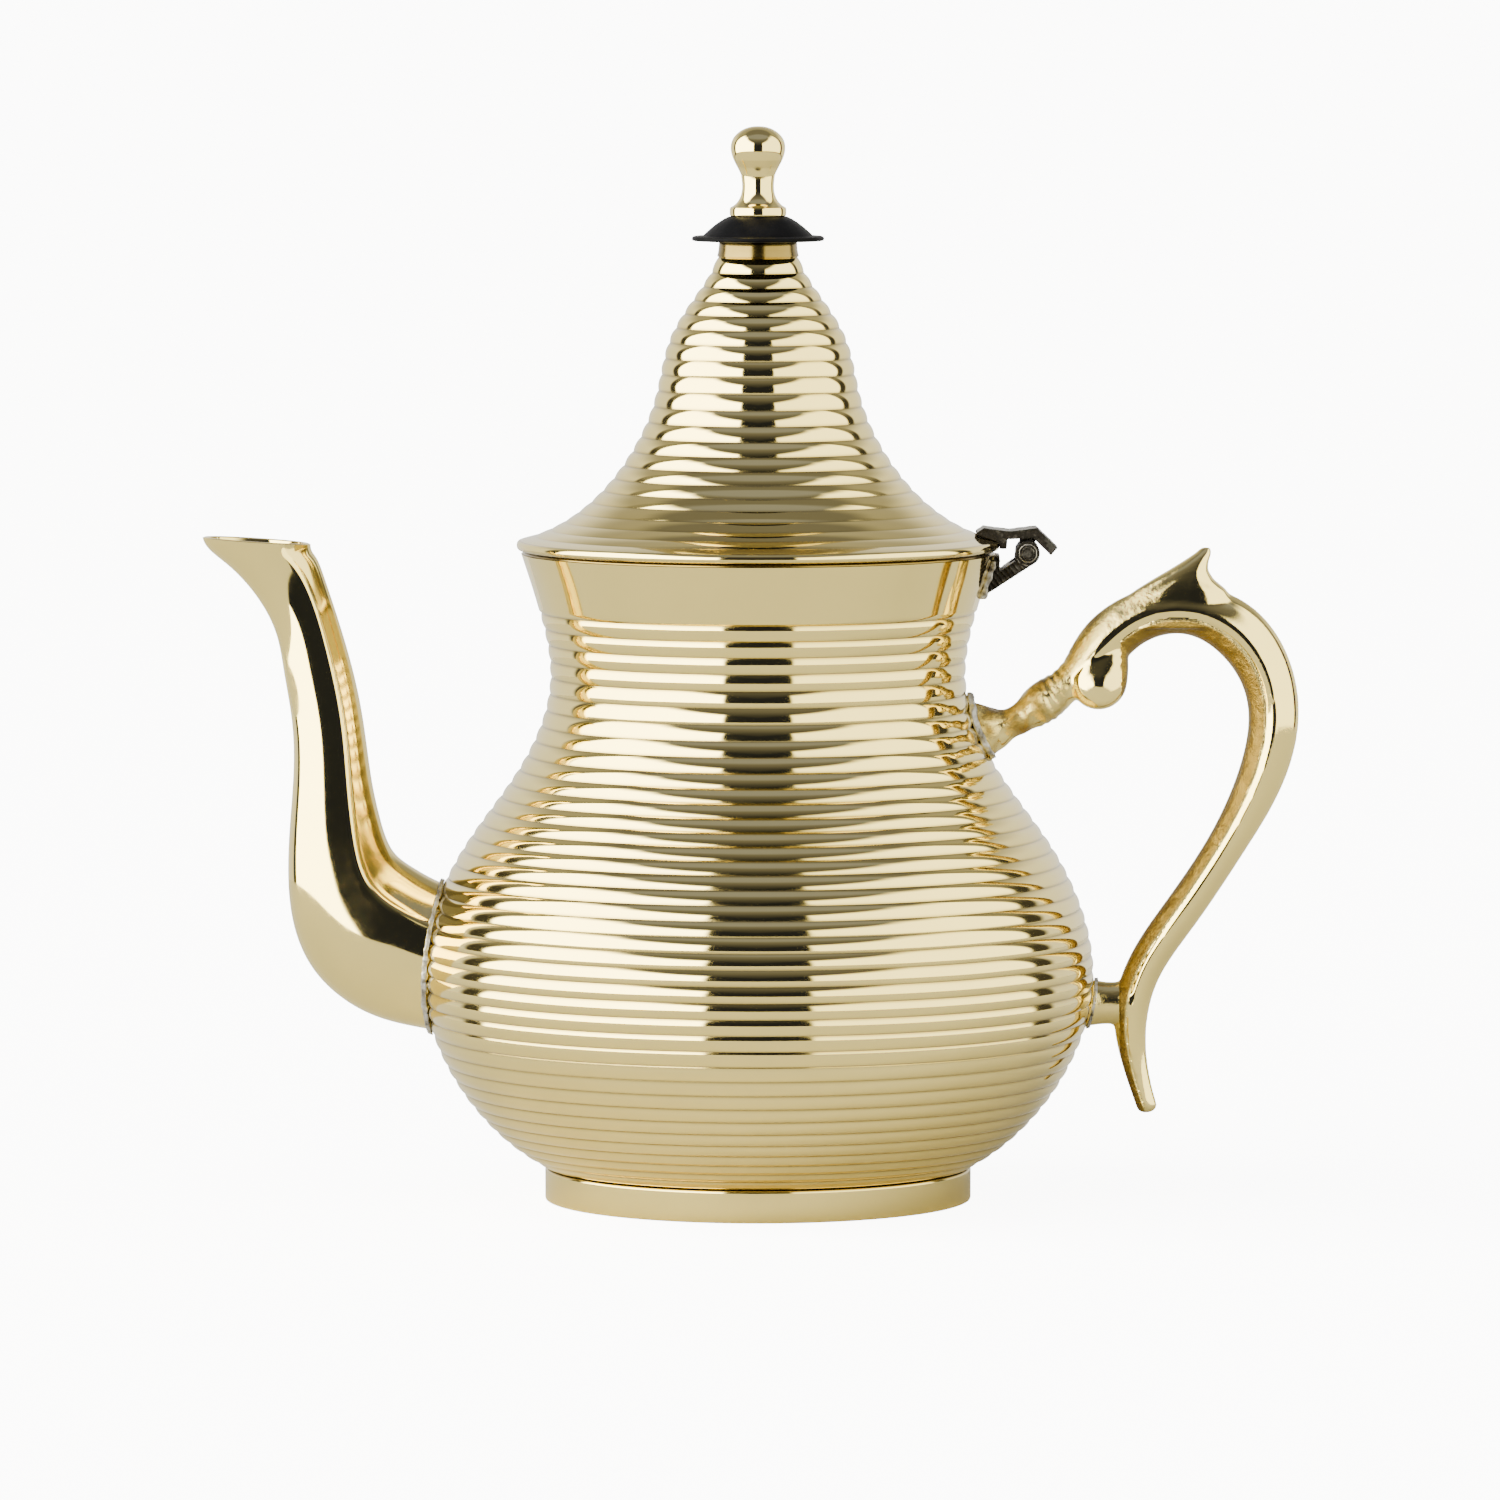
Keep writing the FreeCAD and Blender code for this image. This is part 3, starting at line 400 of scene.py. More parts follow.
def cast_as_one(piece, voxel, passes):
    """Run everything in a piece together into one skin and flow its edges round."""
    remesh = piece.modifiers.new("one casting", "REMESH")
    remesh.mode = "VOXEL"
    remesh.voxel_size = voxel * MM
    flow = piece.modifiers.new("round edges", "SMOOTH")
    flow.factor = SMOOTHING
    flow.iterations = passes
    apply_modifiers(piece)


def turned(name, outline, tarnish_and_painted_light=None, turns=TURNS, wobble=0.0):
    """A closed outline spun about the pot's axis, a little uneven where wobble is given."""
    verts, faces, values, rings = [], [], [], []
    for place, (radius, height) in enumerate(outline):
        count = turns if radius > ON_AXIS else 1
        rings.append([len(verts) + i for i in range(count)])
        for i in range(count):
            angle = 2.0 * math.pi * i / turns
            way = Vector((math.cos(angle), math.sin(angle), 0.0))
            spot = way * radius + Vector((0.0, 0.0, height))
            uneven = wobble * noise.noise(spot * WOBBLE_FINENESS) * min(1.0, radius / WOBBLE_FULL)
            verts.append(spot + way * uneven)
            values.append(tarnish_and_painted_light[place] if tarnish_and_painted_light is not None else 0.0)
    for a, b in zip(rings, rings[1:] + rings[:1]):
        if len(a) == 1 and len(b) == 1:
            continue
        for i in range(turns):
            j = (i + 1) % turns
            corners = [a[i % len(a)], a[j % len(a)], b[j % len(b)], b[i % len(b)]]
            faces.append(list(dict.fromkeys(corners)))
    return new_piece(name, verts, faces, values)


def skinned(name, rings, closed=True, tarnish_and_painted_light=None):
    """A skin over a run of rings with equal counts, with its two ends closed if asked."""
    count = len(rings[0])
    verts = [tuple(v) for ring in rings for v in ring]
    faces = []
    for row in range(len(rings) - 1):
        for i in range(count):
            j = (i + 1) % count
            faces.append([row * count + i, row * count + j, (row + 1) * count + j, (row + 1) * count + i])
    for row in (0, len(rings) - 1) if closed else ():
        middle = len(verts)
        verts.append(tuple(np.mean(rings[row], axis=0)))
        for i in range(count):
            faces.append([row * count + i, row * count + (i + 1) % count, middle])
    return new_piece(name, verts, faces, tarnish_and_painted_light)


def join_into(piece, other):
    edit = bmesh.new()
    edit.from_mesh(piece.data)
    edit.from_mesh(other.data)
    edit.to_mesh(piece.data)
    edit.free()
    bpy.data.objects.remove(other)


def dress(piece, body, slot, material, *nodes):
    """Material, the body that carries the piece, and the CAD nodes it stands for."""
    piece.data.materials.clear()
    piece.data.materials.append(material)
    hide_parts(*nodes)
    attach(piece, body)


# Finishes.

def new_group(name, inputs, outputs):
    group = bpy.data.node_groups.new(name, "ShaderNodeTree")
    for title, kind, value in inputs:
        socket = group.interface.new_socket(title, in_out="INPUT", socket_type=kind)
        socket.default_value = value
    for title, kind in outputs:
        group.interface.new_socket(title, in_out="OUTPUT", socket_type=kind)
    entry = group.nodes.new("NodeGroupInput")
    leave = group.nodes.new("NodeGroupOutput")
    return group, entry, leave


def add(tree, kind, **values):
    """A node, with its settings, and its sockets that are given by name or by number."""
    node = tree.nodes.new(kind)
    for key, value in values.items():
        if key == "sockets":
            for socket, number in value.items():
                node.inputs[socket].default_value = number
        else:
            setattr(node, key, value)
    return node


CLOUD_RANGE = (0.42, 0.72)
GRAIN_RANGE = (0.3, 0.7)


def make_aged_metal_group():
    """Open metal that goes dull, dark and grainy in its grooves and in soft clouds. The groove value
    also carries painted shade and a painted reflection on the pot, lid and spout, and painted light on the
    hinge.
    """
    group, entry, leave = new_group("aged metal", [
        ("Clean", "NodeSocketColor", (0.9, 0.72, 0.4, 1.0)),
        ("Tarnished", "NodeSocketColor", (0.4, 0.25, 0.08, 1.0)),
        ("Grooves", "NodeSocketFloat", 0.5), ("Clouds", "NodeSocketFloat", 0.1),
        ("Cloud Size", "NodeSocketFloat", 60.0), ("Grain Size", "NodeSocketFloat", 900.0),
        ("Stretch", "NodeSocketVector", (1.0, 1.0, 1.0)), ("Gloss", "NodeSocketFloat", 0.04),
        ("Haze", "NodeSocketFloat", 0.08), ("Dulling", "NodeSocketFloat", 0.3),
        ("Open Relief", "NodeSocketFloat", 0.0), ("Dull Relief", "NodeSocketFloat", 1.0)],
        [("Color", "NodeSocketColor"), ("Roughness", "NodeSocketFloat"), ("Height", "NodeSocketFloat")])
    link = group.links.new

    def maths(operation, first, second, **settings):
        node = add(group, "ShaderNodeMath", operation=operation, **settings)
        link(first, node.inputs[0])
        link(second, node.inputs[1])
        return node.outputs[0]

    def scaled(source, span, low, high):
        """Source over its span as a value from low, or from 0, to high."""
        node = add(group, "ShaderNodeMapRange",
                   sockets={"From Min": span[0], "From Max": span[1], "To Min": 0.0})
        link(source, node.inputs["Value"])
        if low is not None:
            link(low, node.inputs["To Min"])
        link(high, node.inputs["To Max"])
        return node.outputs[0]

    def noise_at(place, size, **sockets):
        node = add(group, "ShaderNodeTexNoise", sockets=sockets)
        link(place, node.inputs["Vector"])
        link(entry.outputs[size], node.inputs["Scale"])
        return node.outputs["Fac"]

    place = add(group, "ShaderNodeTexCoord").outputs["Object"]
    cloud = noise_at(place, "Cloud Size", Detail=5.0, Roughness=0.6)
    clouds = scaled(cloud, CLOUD_RANGE, None, entry.outputs["Clouds"])
    tarnish_and_painted_light = add(group, "ShaderNodeAttribute", attribute_name="groove")
    grooves = maths("MULTIPLY", tarnish_and_painted_light.outputs["Fac"], entry.outputs["Grooves"])
    mask = maths("ADD", clouds, grooves, use_clamp=True)
    mix = add(group, "ShaderNodeMix", data_type="RGBA")
    link(mask, mix.inputs["Factor"])
    link(entry.outputs["Clean"], mix.inputs[6])
    link(entry.outputs["Tarnished"], mix.inputs[7])
    link(mix.outputs[2], leave.inputs["Color"])
    stretch = add(group, "ShaderNodeVectorMath", operation="MULTIPLY")
    link(place, stretch.inputs[0])
    link(entry.outputs["Stretch"], stretch.inputs[1])
    grain = noise_at(stretch.outputs[0], "Grain Size", Detail=6.0, Roughness=0.65)
    gloss = scaled(grain, GRAIN_RANGE, entry.outputs["Gloss"], entry.outputs["Haze"])
    dulling = maths("MULTIPLY", mask, entry.outputs["Dulling"])
    link(maths("ADD", gloss, dulling), leave.inputs["Roughness"])
    relief = scaled(mask, (0.0, 1.0), entry.outputs["Open Relief"], entry.outputs["Dull Relief"])
    link(maths("MULTIPLY", grain, relief), leave.inputs["Height"])
    return group


AGED_METAL = make_aged_metal_group()


def new_metal(name, metallic=1.0, relief_depth=0.0, **values):
    """A finish of this pot: the group's inputs by name, with underscores for spaces."""
    material = bpy.data.materials.new(name)
    material.use_nodes = True
    tree = material.node_tree
    shader = tree.nodes["Principled BSDF"]
    shader.inputs["Metallic"].default_value = metallic
    aged = tree.nodes.new("ShaderNodeGroup")
    aged.node_tree = AGED_METAL
    for title, value in values.items():
        if title in ("Clean", "Tarnished"):
            value = (*value, 1.0)
        aged.inputs[title.replace("_", " ")].default_value = value
    tree.links.new(aged.outputs["Color"], shader.inputs["Base Color"])
    tree.links.new(aged.outputs["Roughness"], shader.inputs["Roughness"])
    if relief_depth:
        lift = add(tree, "ShaderNodeBump", sockets={"Strength": 1.0, "Distance": relief_depth})
        tree.links.new(aged.outputs["Height"], lift.inputs["Height"])
        tree.links.new(lift.outputs["Normal"], shader.inputs["Normal"])
    return material


BRASS = (0.94, 0.755, 0.26)
BROWN_BRASS = (0.15, 0.10, 0.022)
spun_brass = new_metal("spun brass", Clean=BRASS, Tarnished=BROWN_BRASS, Grooves=0.65, Clouds=0.05,
                       Cloud_Size=45.0, Grain_Size=350.0, Stretch=(1.0, 1.0, 12.0), Gloss=0.035,
                       Haze=0.075, Dulling=0.15)
polished_cast = new_metal("polished casting", Clean=BRASS, Tarnished=BROWN_BRASS, Grooves=0.6, Clouds=0.05,
                          Cloud_Size=60.0, Grain_Size=500.0, Gloss=0.035, Haze=0.08, Dulling=0.2)
handle_cast = new_metal("handle casting", relief_depth=0.0007, Clean=BRASS, Tarnished=(0.25, 0.165, 0.032),
                        Grooves=1.0, Clouds=0.04, Cloud_Size=90.0, Grain_Size=420.0, Gloss=0.045,
                        Haze=0.1, Dulling=0.16)
hinge_metal = new_metal("dark hinge casting", relief_depth=0.0003, Clean=(0.6, 0.57, 0.5),
                        Tarnished=(0.018, 0.016, 0.013), Grooves=0.95, Clouds=0.35, Cloud_Size=420.0,
                        Grain_Size=1100.0, Gloss=0.2, Haze=0.35, Dulling=0.2, Open_Relief=0.3)
solder_metal = new_metal("solder", relief_depth=0.0003, Clean=(0.55, 0.54, 0.51),
                         Tarnished=(0.05, 0.042, 0.034), Clouds=1.0, Cloud_Size=420.0, Grain_Size=1200.0,
                         Gloss=0.25, Haze=0.45, Dulling=0.2, Open_Relief=0.6)
plated_steel = new_metal("plated steel", relief_depth=0.00003, Clean=(0.62, 0.62, 0.60),
                         Tarnished=(0.3, 0.27, 0.22), Grooves=0.3, Clouds=0.3, Cloud_Size=300.0,
                         Grain_Size=900.0, Gloss=0.2, Haze=0.35, Dulling=0.1, Open_Relief=1.0)
black_plastic = new_metal("black plastic", metallic=0.0, relief_depth=0.00003, Clean=(0.003, 0.003, 0.0035),
                          Tarnished=(0.008, 0.008, 0.009), Clouds=0.4, Cloud_Size=300.0, Grain_Size=1500.0,
                          Gloss=0.35, Haze=0.5, Dulling=0.05, Open_Relief=1.0)
black_plastic.node_tree.nodes["Principled BSDF"].inputs["Specular IOR Level"].default_value = 0.03


# Spun pot, foot and lid.

def ribbed(line, first, ribs, depths):
    """Convex ribs along an evenly spaced line, each between two grooves of the given depths."""
    step = (len(line) - 1) // ribs
    normals = outward(line)
    marks = [line[step * k] - depths[k] * normals[step * k] for k in range(ribs)] + [line[-1]]
    places, tarnish_and_painted_light = [], []
    for k in range(first, ribs):
        middle = line[step * k + step // 2]
        swell = middle - (marks[k] + marks[k + 1]) / 2.0
        for share in RIB_SHARES:
            places.append(marks[k] + (marks[k + 1] - marks[k]) * share + 4.0 * share * (1.0 - share) * swell)
            tarnish_and_painted_light.append(max(0.0, 1.0 - min(share, 1.0 - share) / GROOVE_SHARE) * depths[k] / RIB_DEPTH)
    places.append(marks[-1])
    tarnish_and_painted_light.append(1.0)
    return pairs(places), tarnish_and_painted_light


def inner_skin(line, count):
    """The smooth inside of a spun sheet."""
    marks = np.linspace(0, len(line) - 1, SHEET_MARKS).astype(int)
    return smooth_line(line[marks] - SHEET * outward(line)[marks], count)


def make_pot():
    line = smooth_line(POT_LINE, POT_RIBS * RIB_STEPS + 1)
    ribs, rib_dirt = ribbed(line, PLAIN_RIBS, POT_RIBS, np.full(POT_RIBS, RIB_DEPTH))
    band = pairs(line[BAND_STEP:PLAIN_RIBS * RIB_STEPS - 1:BAND_STEP])
    inside = [p for p in pairs(inner_skin(line, POT_INSIDE_ROWS)) if p[1] < POT_INSIDE_TOP]
    base = POT_BASE + [(0.0, inside[-1][1])]
    outline = POT_LIP + band + ribs[:-1] + base + inside[::-1]
    # The lip is darkened as painted shade in the gap under the lid.
    tarnish_and_painted_light = [PAINTED_GAP_SHADE] * len(POT_LIP) + [0.0] * len(band) + rib_dirt[:-1] + POT_BASE_DARKENING
    tarnish_and_painted_light += [INSIDE_DIRT] * len(inside)
    pot = turned("pot_shell", outline, tarnish_and_painted_light, wobble=POT_WOBBLE)
    pierce_strainer(pot)
    dress(pot, "pot", "polished_brass", spun_brass, "body_shell")


def pierce_strainer(pot):
    """Round holes through the wall behind the spout."""
    tool = bmesh.new()
    reach = range(-STRAINER_RINGS, STRAINER_RINGS + 1)
    for across in reach:
        for along in reach:
            if abs(across + along) > STRAINER_RINGS:
                continue
            y = STRAINER_PITCH * across * math.sin(math.radians(60.0))
            z = STRAINER_HEIGHT + STRAINER_PITCH * (along + across / 2.0)
            hole = bmesh.ops.create_cone(tool, cap_ends=True, segments=STRAINER_SIDES,
                                         radius1=STRAINER_RADIUS * MM, radius2=STRAINER_RADIUS * MM,
                                         depth=STRAINER_REACH * MM)
            for vert in hole["verts"]:
                up, side, length = vert.co
                vert.co = Vector((length - STRAINER_WALL * MM, side + y * MM, up + z * MM))
    bmesh.ops.recalc_face_normals(tool, faces=tool.faces)
    mesh = bpy.data.meshes.new("strainer_drills")
    tool.to_mesh(mesh)
    tool.free()
    drills = show("strainer_drills", mesh)
    cut = pot.modifiers.new("strainer", "BOOLEAN")
    cut.operation = "DIFFERENCE"
    cut.solver = "MANIFOLD"
    cut.object = drills
    apply_modifiers(pot)
    bpy.data.objects.remove(drills)
    pot.data.shade_smooth()
    pot.data.set_sharp_from_angle(angle=math.radians(SHARP_EDGE))


def make_foot():
    outline = [(radius, height) for radius, height, _ in FOOT_RING]
    tarnish_and_painted_light = [level for _, _, level in FOOT_RING]
    dress(turned("foot_ring_turned", outline, tarnish_and_painted_light), "pot", "polished_brass", spun_brass, "foot_ring")


def make_lid():
    whole = smooth_line(LID_LINE, LID_LINE_STEPS)
    below_stub = whole[int(np.argmin(np.abs(whole[:, 1] - LID_STUB))):]
    count = int(round(distances(below_stub)[-1] / LID_RIB_PITCH))
    flare = [0] + [count - k for k in FLARE_RIBS]
    depths = RIB_DEPTH * np.interp(np.arange(count), flare, FLARE_DEPTHS)
    ribs, rib_dirt = ribbed(evenly(below_stub, count * RIB_STEPS + 1), 0, count, depths)
    roof = CROWN_TOP - CROWN_SHEET
    inside = [p for p in pairs(inner_skin(whole, LID_INSIDE_ROWS))
              if LID_INSIDE[0] < p[0] < LID_INSIDE[1] and p[1] < roof]
    low_corner, high_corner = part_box("lid_collar")
    outer, top, low = high_corner[0] / MM, high_corner[2] / MM, low_corner[2] / MM
    crown = [(inside[0][0], roof), (CROWN_HOLE, roof), (CROWN_HOLE, CROWN_TOP)]
    outline = LID_STUB_LINE + ribs + LID_EDGE + [(outer, LID_BASE), (outer, top)] + inside[::-1] + crown
    # The stub is darkened as painted shade under the hat, and the lid's lower edge as painted shade over the
    # pot's lip.
    tarnish_and_painted_light = [PAINTED_GAP_SHADE] * len(LID_STUB_LINE) + rib_dirt + LID_EDGE_PAINTED_SHADE
    tarnish_and_painted_light += [INSIDE_DIRT] * (len(inside) + len(crown))
    bell = turned("lid_bell", outline, tarnish_and_painted_light, wobble=LID_WOBBLE)
    dress(bell, "lid", "polished_brass", spun_brass, "lid_shell")
    inner = outer - COLLAR_SHEET
    bevel, drop = COLLAR_BEVEL
    ring = [(inner, low + drop), (inner + bevel, low), (outer - bevel, low), (outer, low + drop),
            (outer, top), (inner, top)]
    dress(turned("lid_collar_ring", ring, COLLAR_DIRT), "lid", "polished_brass", spun_brass, "lid_collar")


# Knob, hat and what holds them.

def make_hat():
    dome = pairs(smooth_line(lifted(HAT_DOME, CROWN_TOP), HAT_DOME_ROWS))
    outline = lifted(HAT_BRIM, CROWN_TOP) + dome + HAT_CROWN
    hat = turned("knob_hat", outline, turns=KNOB_TURNS)
    dress(hat, "lid", "black_plastic", black_plastic, "knob_insulator")


def make_knob():
    foot = lifted(KNOB_FOOT, HAT_TOP)
    waist = pairs(smooth_line(KNOB_WAIST, KNOB_WAIST_ROWS))
    ball = pairs(smooth_line(KNOB_BALL, KNOB_BALL_ROWS))[1:-1] + [(0.0, KNOB_TOP)]
    tarnish_and_painted_light = [0.0] * len(foot) + [KNOB_FOOT_DIRT] + [0.0] * (len(waist) - 1)
    tarnish_and_painted_light += [KNOB_SEAM_DIRT if KNOB_SEAM[0] <= height <= KNOB_SEAM[1] else 0.0 for _, height in ball]
    knob = turned("knob_turned", foot + waist + ball, tarnish_and_painted_light, turns=KNOB_TURNS)
    dress(knob, "lid", "polished_brass", spun_brass, "knob")


def make_stud():
    """Threaded stud: one helical ridge wound round a core."""
    low, high = (corner[2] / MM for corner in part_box("knob_stud"))
    steps = int((high - low) / THREAD_PITCH * THREAD_ROWS)
    rings = []
    for row in range(steps + 1):
        z = low + (high - low) * row / steps
        ring = []
        for i in range(THREAD_SIDES):
            turn = i / THREAD_SIDES
            wave = abs(((z / THREAD_PITCH - turn) % 1.0) * 2.0 - 1.0)
            radius = THREAD_CORE + (THREAD_CREST - THREAD_CORE) * wave
            ring.append((radius * math.cos(2 * math.pi * turn), radius * math.sin(2 * math.pi * turn), z))
        rings.append(np.array(ring))
    dress(skinned("knob_stud_thread", rings), "lid", "plated_steel", plated_steel, "knob_stud")


def make_nut():
    """Hex nut with broken corners."""
    low, high = (corner[2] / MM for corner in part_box("knob_nut"))
    rings = []
    for radius, z in ((NUT_BORE, low), (NUT_FACE, low), (NUT_CORNER, low + NUT_BEVEL),
                      (NUT_CORNER, high - NUT_BEVEL), (NUT_FACE, high), (NUT_BORE, high)):
        ring = []
        for i in range(NUT_SIDES):
            angle = 2.0 * math.pi * i / NUT_SIDES
            flat = math.cos(math.pi / 6.0) / math.cos((angle % (math.pi / 3.0)) - math.pi / 6.0)
            reach = min(radius, NUT_CORNER * flat)
            ring.append((reach * math.cos(angle), reach * math.sin(angle), z))
        rings.append(np.array(ring))
    nut = skinned("knob_nut_hex", rings + [rings[0]], closed=False)
    tidy_mesh(nut, NUT_SHARP)
    dress(nut, "lid", "plated_steel", plated_steel, "knob_nut")


def make_washer():
    low, high = (corner[2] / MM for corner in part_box("knob_washer"))
    edge = WASHER_RADIUS - WASHER_BEVEL
    ring = [(WASHER_HOLE, low), (edge, low), (WASHER_RADIUS, low + WASHER_BEVEL),
            (WASHER_RADIUS, high - WASHER_BEVEL), (edge, high), (WASHER_HOLE, high)]
    washer = turned("knob_washer_flat", ring, turns=WASHER_TURNS)
    dress(washer, "lid", "plated_steel", plated_steel, "knob_washer")


# Cast spout and handle.

def whole_section(roof, edge, side):
    """Unit section from its inner tip round one side to its outer tip, and back on the other side."""
    half = np.vstack([smooth_line(roof, ROOF_STEPS), np.array(edge), smooth_line(side, SIDE_STEPS)])
    return np.vstack([half, half[-2:0:-1] * np.array([1.0, -1.0])])


def oval_of(section):
    return section / np.linalg.norm(section, axis=1)[:, None]


def section_ring(section, x, z, length, width, lean, ridged):
    """One section in the middle plane's frame; ridged blends it from a plain oval."""
    shape = ridged * section + (1.0 - ridged) * oval_of(section)
    turn = math.radians(lean)
    along = shape[:, 0] * length / 2.0
    return np.column_stack([x + along * math.sin(turn), shape[:, 1] * width / 2.0, z + along * math.cos(turn)])


def lengthwise(rings, rows):
    """Rings along smooth lines through the given ones, starting where each line leaves the pot."""
    rings = np.array(rings)
    at = distances(rings.mean(axis=1))
    flat = rings.reshape(len(rings), -1)
    fine = np.linspace(0.0, at[-1], FINE_STEPS)
    lines = line_at(at, flat, slopes_through(at, flat), fine).reshape(FINE_STEPS, -1, 3)
    reach = np.hypot(lines[:, :, 0], lines[:, :, 1]) - pot_radius(lines[:, :, 2]) + SEAT_DEPTH
    outside = np.argmax(reach > 0.0, axis=0)
    starts = fine[np.maximum(outside - 1, 0)]
    share = np.linspace(0.0, 1.0, rows)
    result = np.empty((rows, lines.shape[1], 3))
    for i in range(lines.shape[1]):
        where = starts[i] + (at[-1] - starts[i]) * share
        for k in range(3):
            result[:, i, k] = np.interp(where, fine, lines[:, i, k])
    return result


def make_spout():
    section = whole_section(SPOUT_ROOF, SPOUT_EDGE, SPOUT_SIDE)
    outer = lengthwise([section_ring(section, *row) for row in SPOUT], SPOUT_ROWS)
    bore_rows = [(x, z, length - 2 * SPOUT_WALL, width - 2 * SPOUT_WALL, lean, 0.0)
                 for x, z, length, width, lean, _ in SPOUT]
    bore = lengthwise([section_ring(oval_of(section), *row) for row in bore_rows], SPOUT_BORE_ROWS)
    lean = math.radians(SPOUT[-1][4])
    rim = 0.5 * (outer[-1] + bore[-1]) + SPOUT_RIM_RISE * np.array([-math.cos(lean), 0.0, math.sin(lean)])
    lip = [SPOUT_RIM_SHARE * rim + (1.0 - SPOUT_RIM_SHARE) * end for end in (outer[-1], bore[-1])]
    rings = list(outer) + lip + list(bore[::-1]) + [outer[0]]
    tarnish_and_painted_light = np.zeros((len(rings), len(section)))
    # The side that faces the pot gets a painted reflection of the pot.
    tarnish_and_painted_light[:len(outer), section[:, 0] > SPOUT_EDGE[0][0]] = SPOUT_PAINTED_REFLECTION
    spout = skinned("spout_casting", rings, closed=False, tarnish_and_painted_light=tarnish_and_painted_light.ravel())
    dress(spout, "pot", "polished_brass", polished_cast, "spout")


def handle_leans():
    leans = []
    for i in range(len(HANDLE)):
        before = HANDLE[max(i - 1, 0)]
        after = HANDLE[min(i + 1, len(HANDLE) - 1)]
        leans.append(math.degrees(math.atan2(after[1] - before[1], before[0] - after[0])))
    return leans


def handle_loop():
    """The bent bar of the handle from the neck of the pot to its tail."""
    section = whole_section(HANDLE_ROOF, HANDLE_EDGE, HANDLE_SIDE)
    rings = [section_ring(section, x, z, thick, depth, lean, ridged)
             for (x, z, thick, depth, ridged), lean in zip(HANDLE, handle_leans())]
    rows = lengthwise(rings, HANDLE_ROWS)
    last = rows[-1]
    middle = last.mean(axis=0)
    run = middle - rows[-2].mean(axis=0)
    run = run / np.linalg.norm(run)
    tail = [middle + (last - middle) * math.cos(a) + run * TAIL_ROUNDING * math.sin(a) for a in TAIL_ANGLES]
    return skinned("handle_loop", list(rows) + tail)


def handle_spur():
    """The thumb rest: a ramp that climbs straight from the wrist to a tip and falls off behind it."""
    across, deep = (np.sign(side) * np.abs(side) ** SPUR_SQUARE for side in (np.cos(ROUND), np.sin(ROUND)))
    deep = deep * (SPUR_EDGE + (1.0 - SPUR_EDGE) * ((1.0 + across) / 2.0) ** SPUR_TAPER)
    rings = [np.column_stack([(left + right) / 2.0 + (right - left) / 2.0 * across, depth / 2.0 * deep,
                              np.full(len(ROUND), z)]) for z, left, right, depth in SPUR]
    return skinned("handle_spur", rings)


def handle_scroll():
    """A thick drop, its point pulled out into the loop."""
    rings = []
    for share in np.linspace(-1.0, 1.0, SCROLL_ROWS):
        spread = max(SCROLL_END, 1.0 - abs(share) ** SCROLL_SQUARE) ** 0.5
        drop = SCROLL_RADIUS * spread * np.column_stack([np.cos(ROUND), np.sin(ROUND)])
        pull = np.clip(drop @ SCROLL_WAY / SCROLL_RADIUS, 0.0, 1.0)[:, None] ** 2
        drop = drop * (1.0 - SCROLL_NARROWING * pull) + SCROLL_RISE * pull * SCROLL_WAY * spread
        deep = share * (SCROLL_DEPTH / 2.0 - SCROLL_TILT * drop[:, 1])
        rings.append(np.column_stack([SCROLL[0] + drop[:, 0], deep, SCROLL[1] + drop[:, 1]]))
    return skinned("handle_scroll", rings)


def handle_peg():
    """The waisted foot that joins the loop to the belly."""
    middle = np.array([0.0, PEG_HEIGHT])
    wide = np.column_stack([PEG_SIZE[1] / 2.0 * np.cos(ROUND), PEG_HEIGHT + PEG_SIZE[0] / 2.0 * np.sin(ROUND)])
    start = np.sqrt(np.maximum(pot_radius(wide[:, 1]) ** 2 - wide[:, 0] ** 2, 0.0)) - SEAT_DEPTH
    rings = []
    for share in np.linspace(0.0, 1.0, PEG_ROWS):
        spread = PEG_WAIST + PEG_FLARE * (share - 0.5) ** 2
        rings.append(np.column_stack([start + (PEG_END - start) * share, middle + (wide - middle) * spread]))
    return skinned("handle_peg", rings)


def make_handle():
    handle = handle_loop()
    for other in (handle_spur(), handle_scroll(), handle_peg()):
        join_into(handle, other)
    handle.name = "handle_casting"
    cast_as_one(handle, CASTING_VOXEL, CASTING_PASSES)
    handle.data.shade_smooth()
    roughen_neck(handle)
    mark_unpolished(handle)
    dress(handle, "pot", "cast_brass", handle_cast, "handle")


def neck_share(x, z):
    """1 on the unfinished neck above the belly, fading out towards the scroll."""
    return fade(NECK_END - x, NECK_FADE) if z > UPPER_HALF else 0.0


def move_along_normals(piece, change):
    """Move each place of a piece along its normal by change(place, normal)."""
    normals = [Vector(vert.normal) for vert in piece.data.vertices]
    for vert, normal in zip(piece.data.vertices, normals):
        vert.co += normal * MM * change(vert.co / MM, normal)


def roughen_neck(handle):
    """Lumps of the casting and file marks across the bead of the neck."""
    def neck_relief(place, normal):
        share = neck_share(place.x, place.z)
        if share == 0.0:
            return 0.0
        filed = math.sin((FILE_WAY[0] * place.x + FILE_WAY[1] * place.z) * 2.0 * math.pi / FILE_PITCH)
        filed *= fade(place.x - FILED_FROM, FILED_FADE)
        return share * (lumps(place, NECK_LUMPS) + FILE_DEPTH * filed)

    move_along_normals(handle, neck_relief)


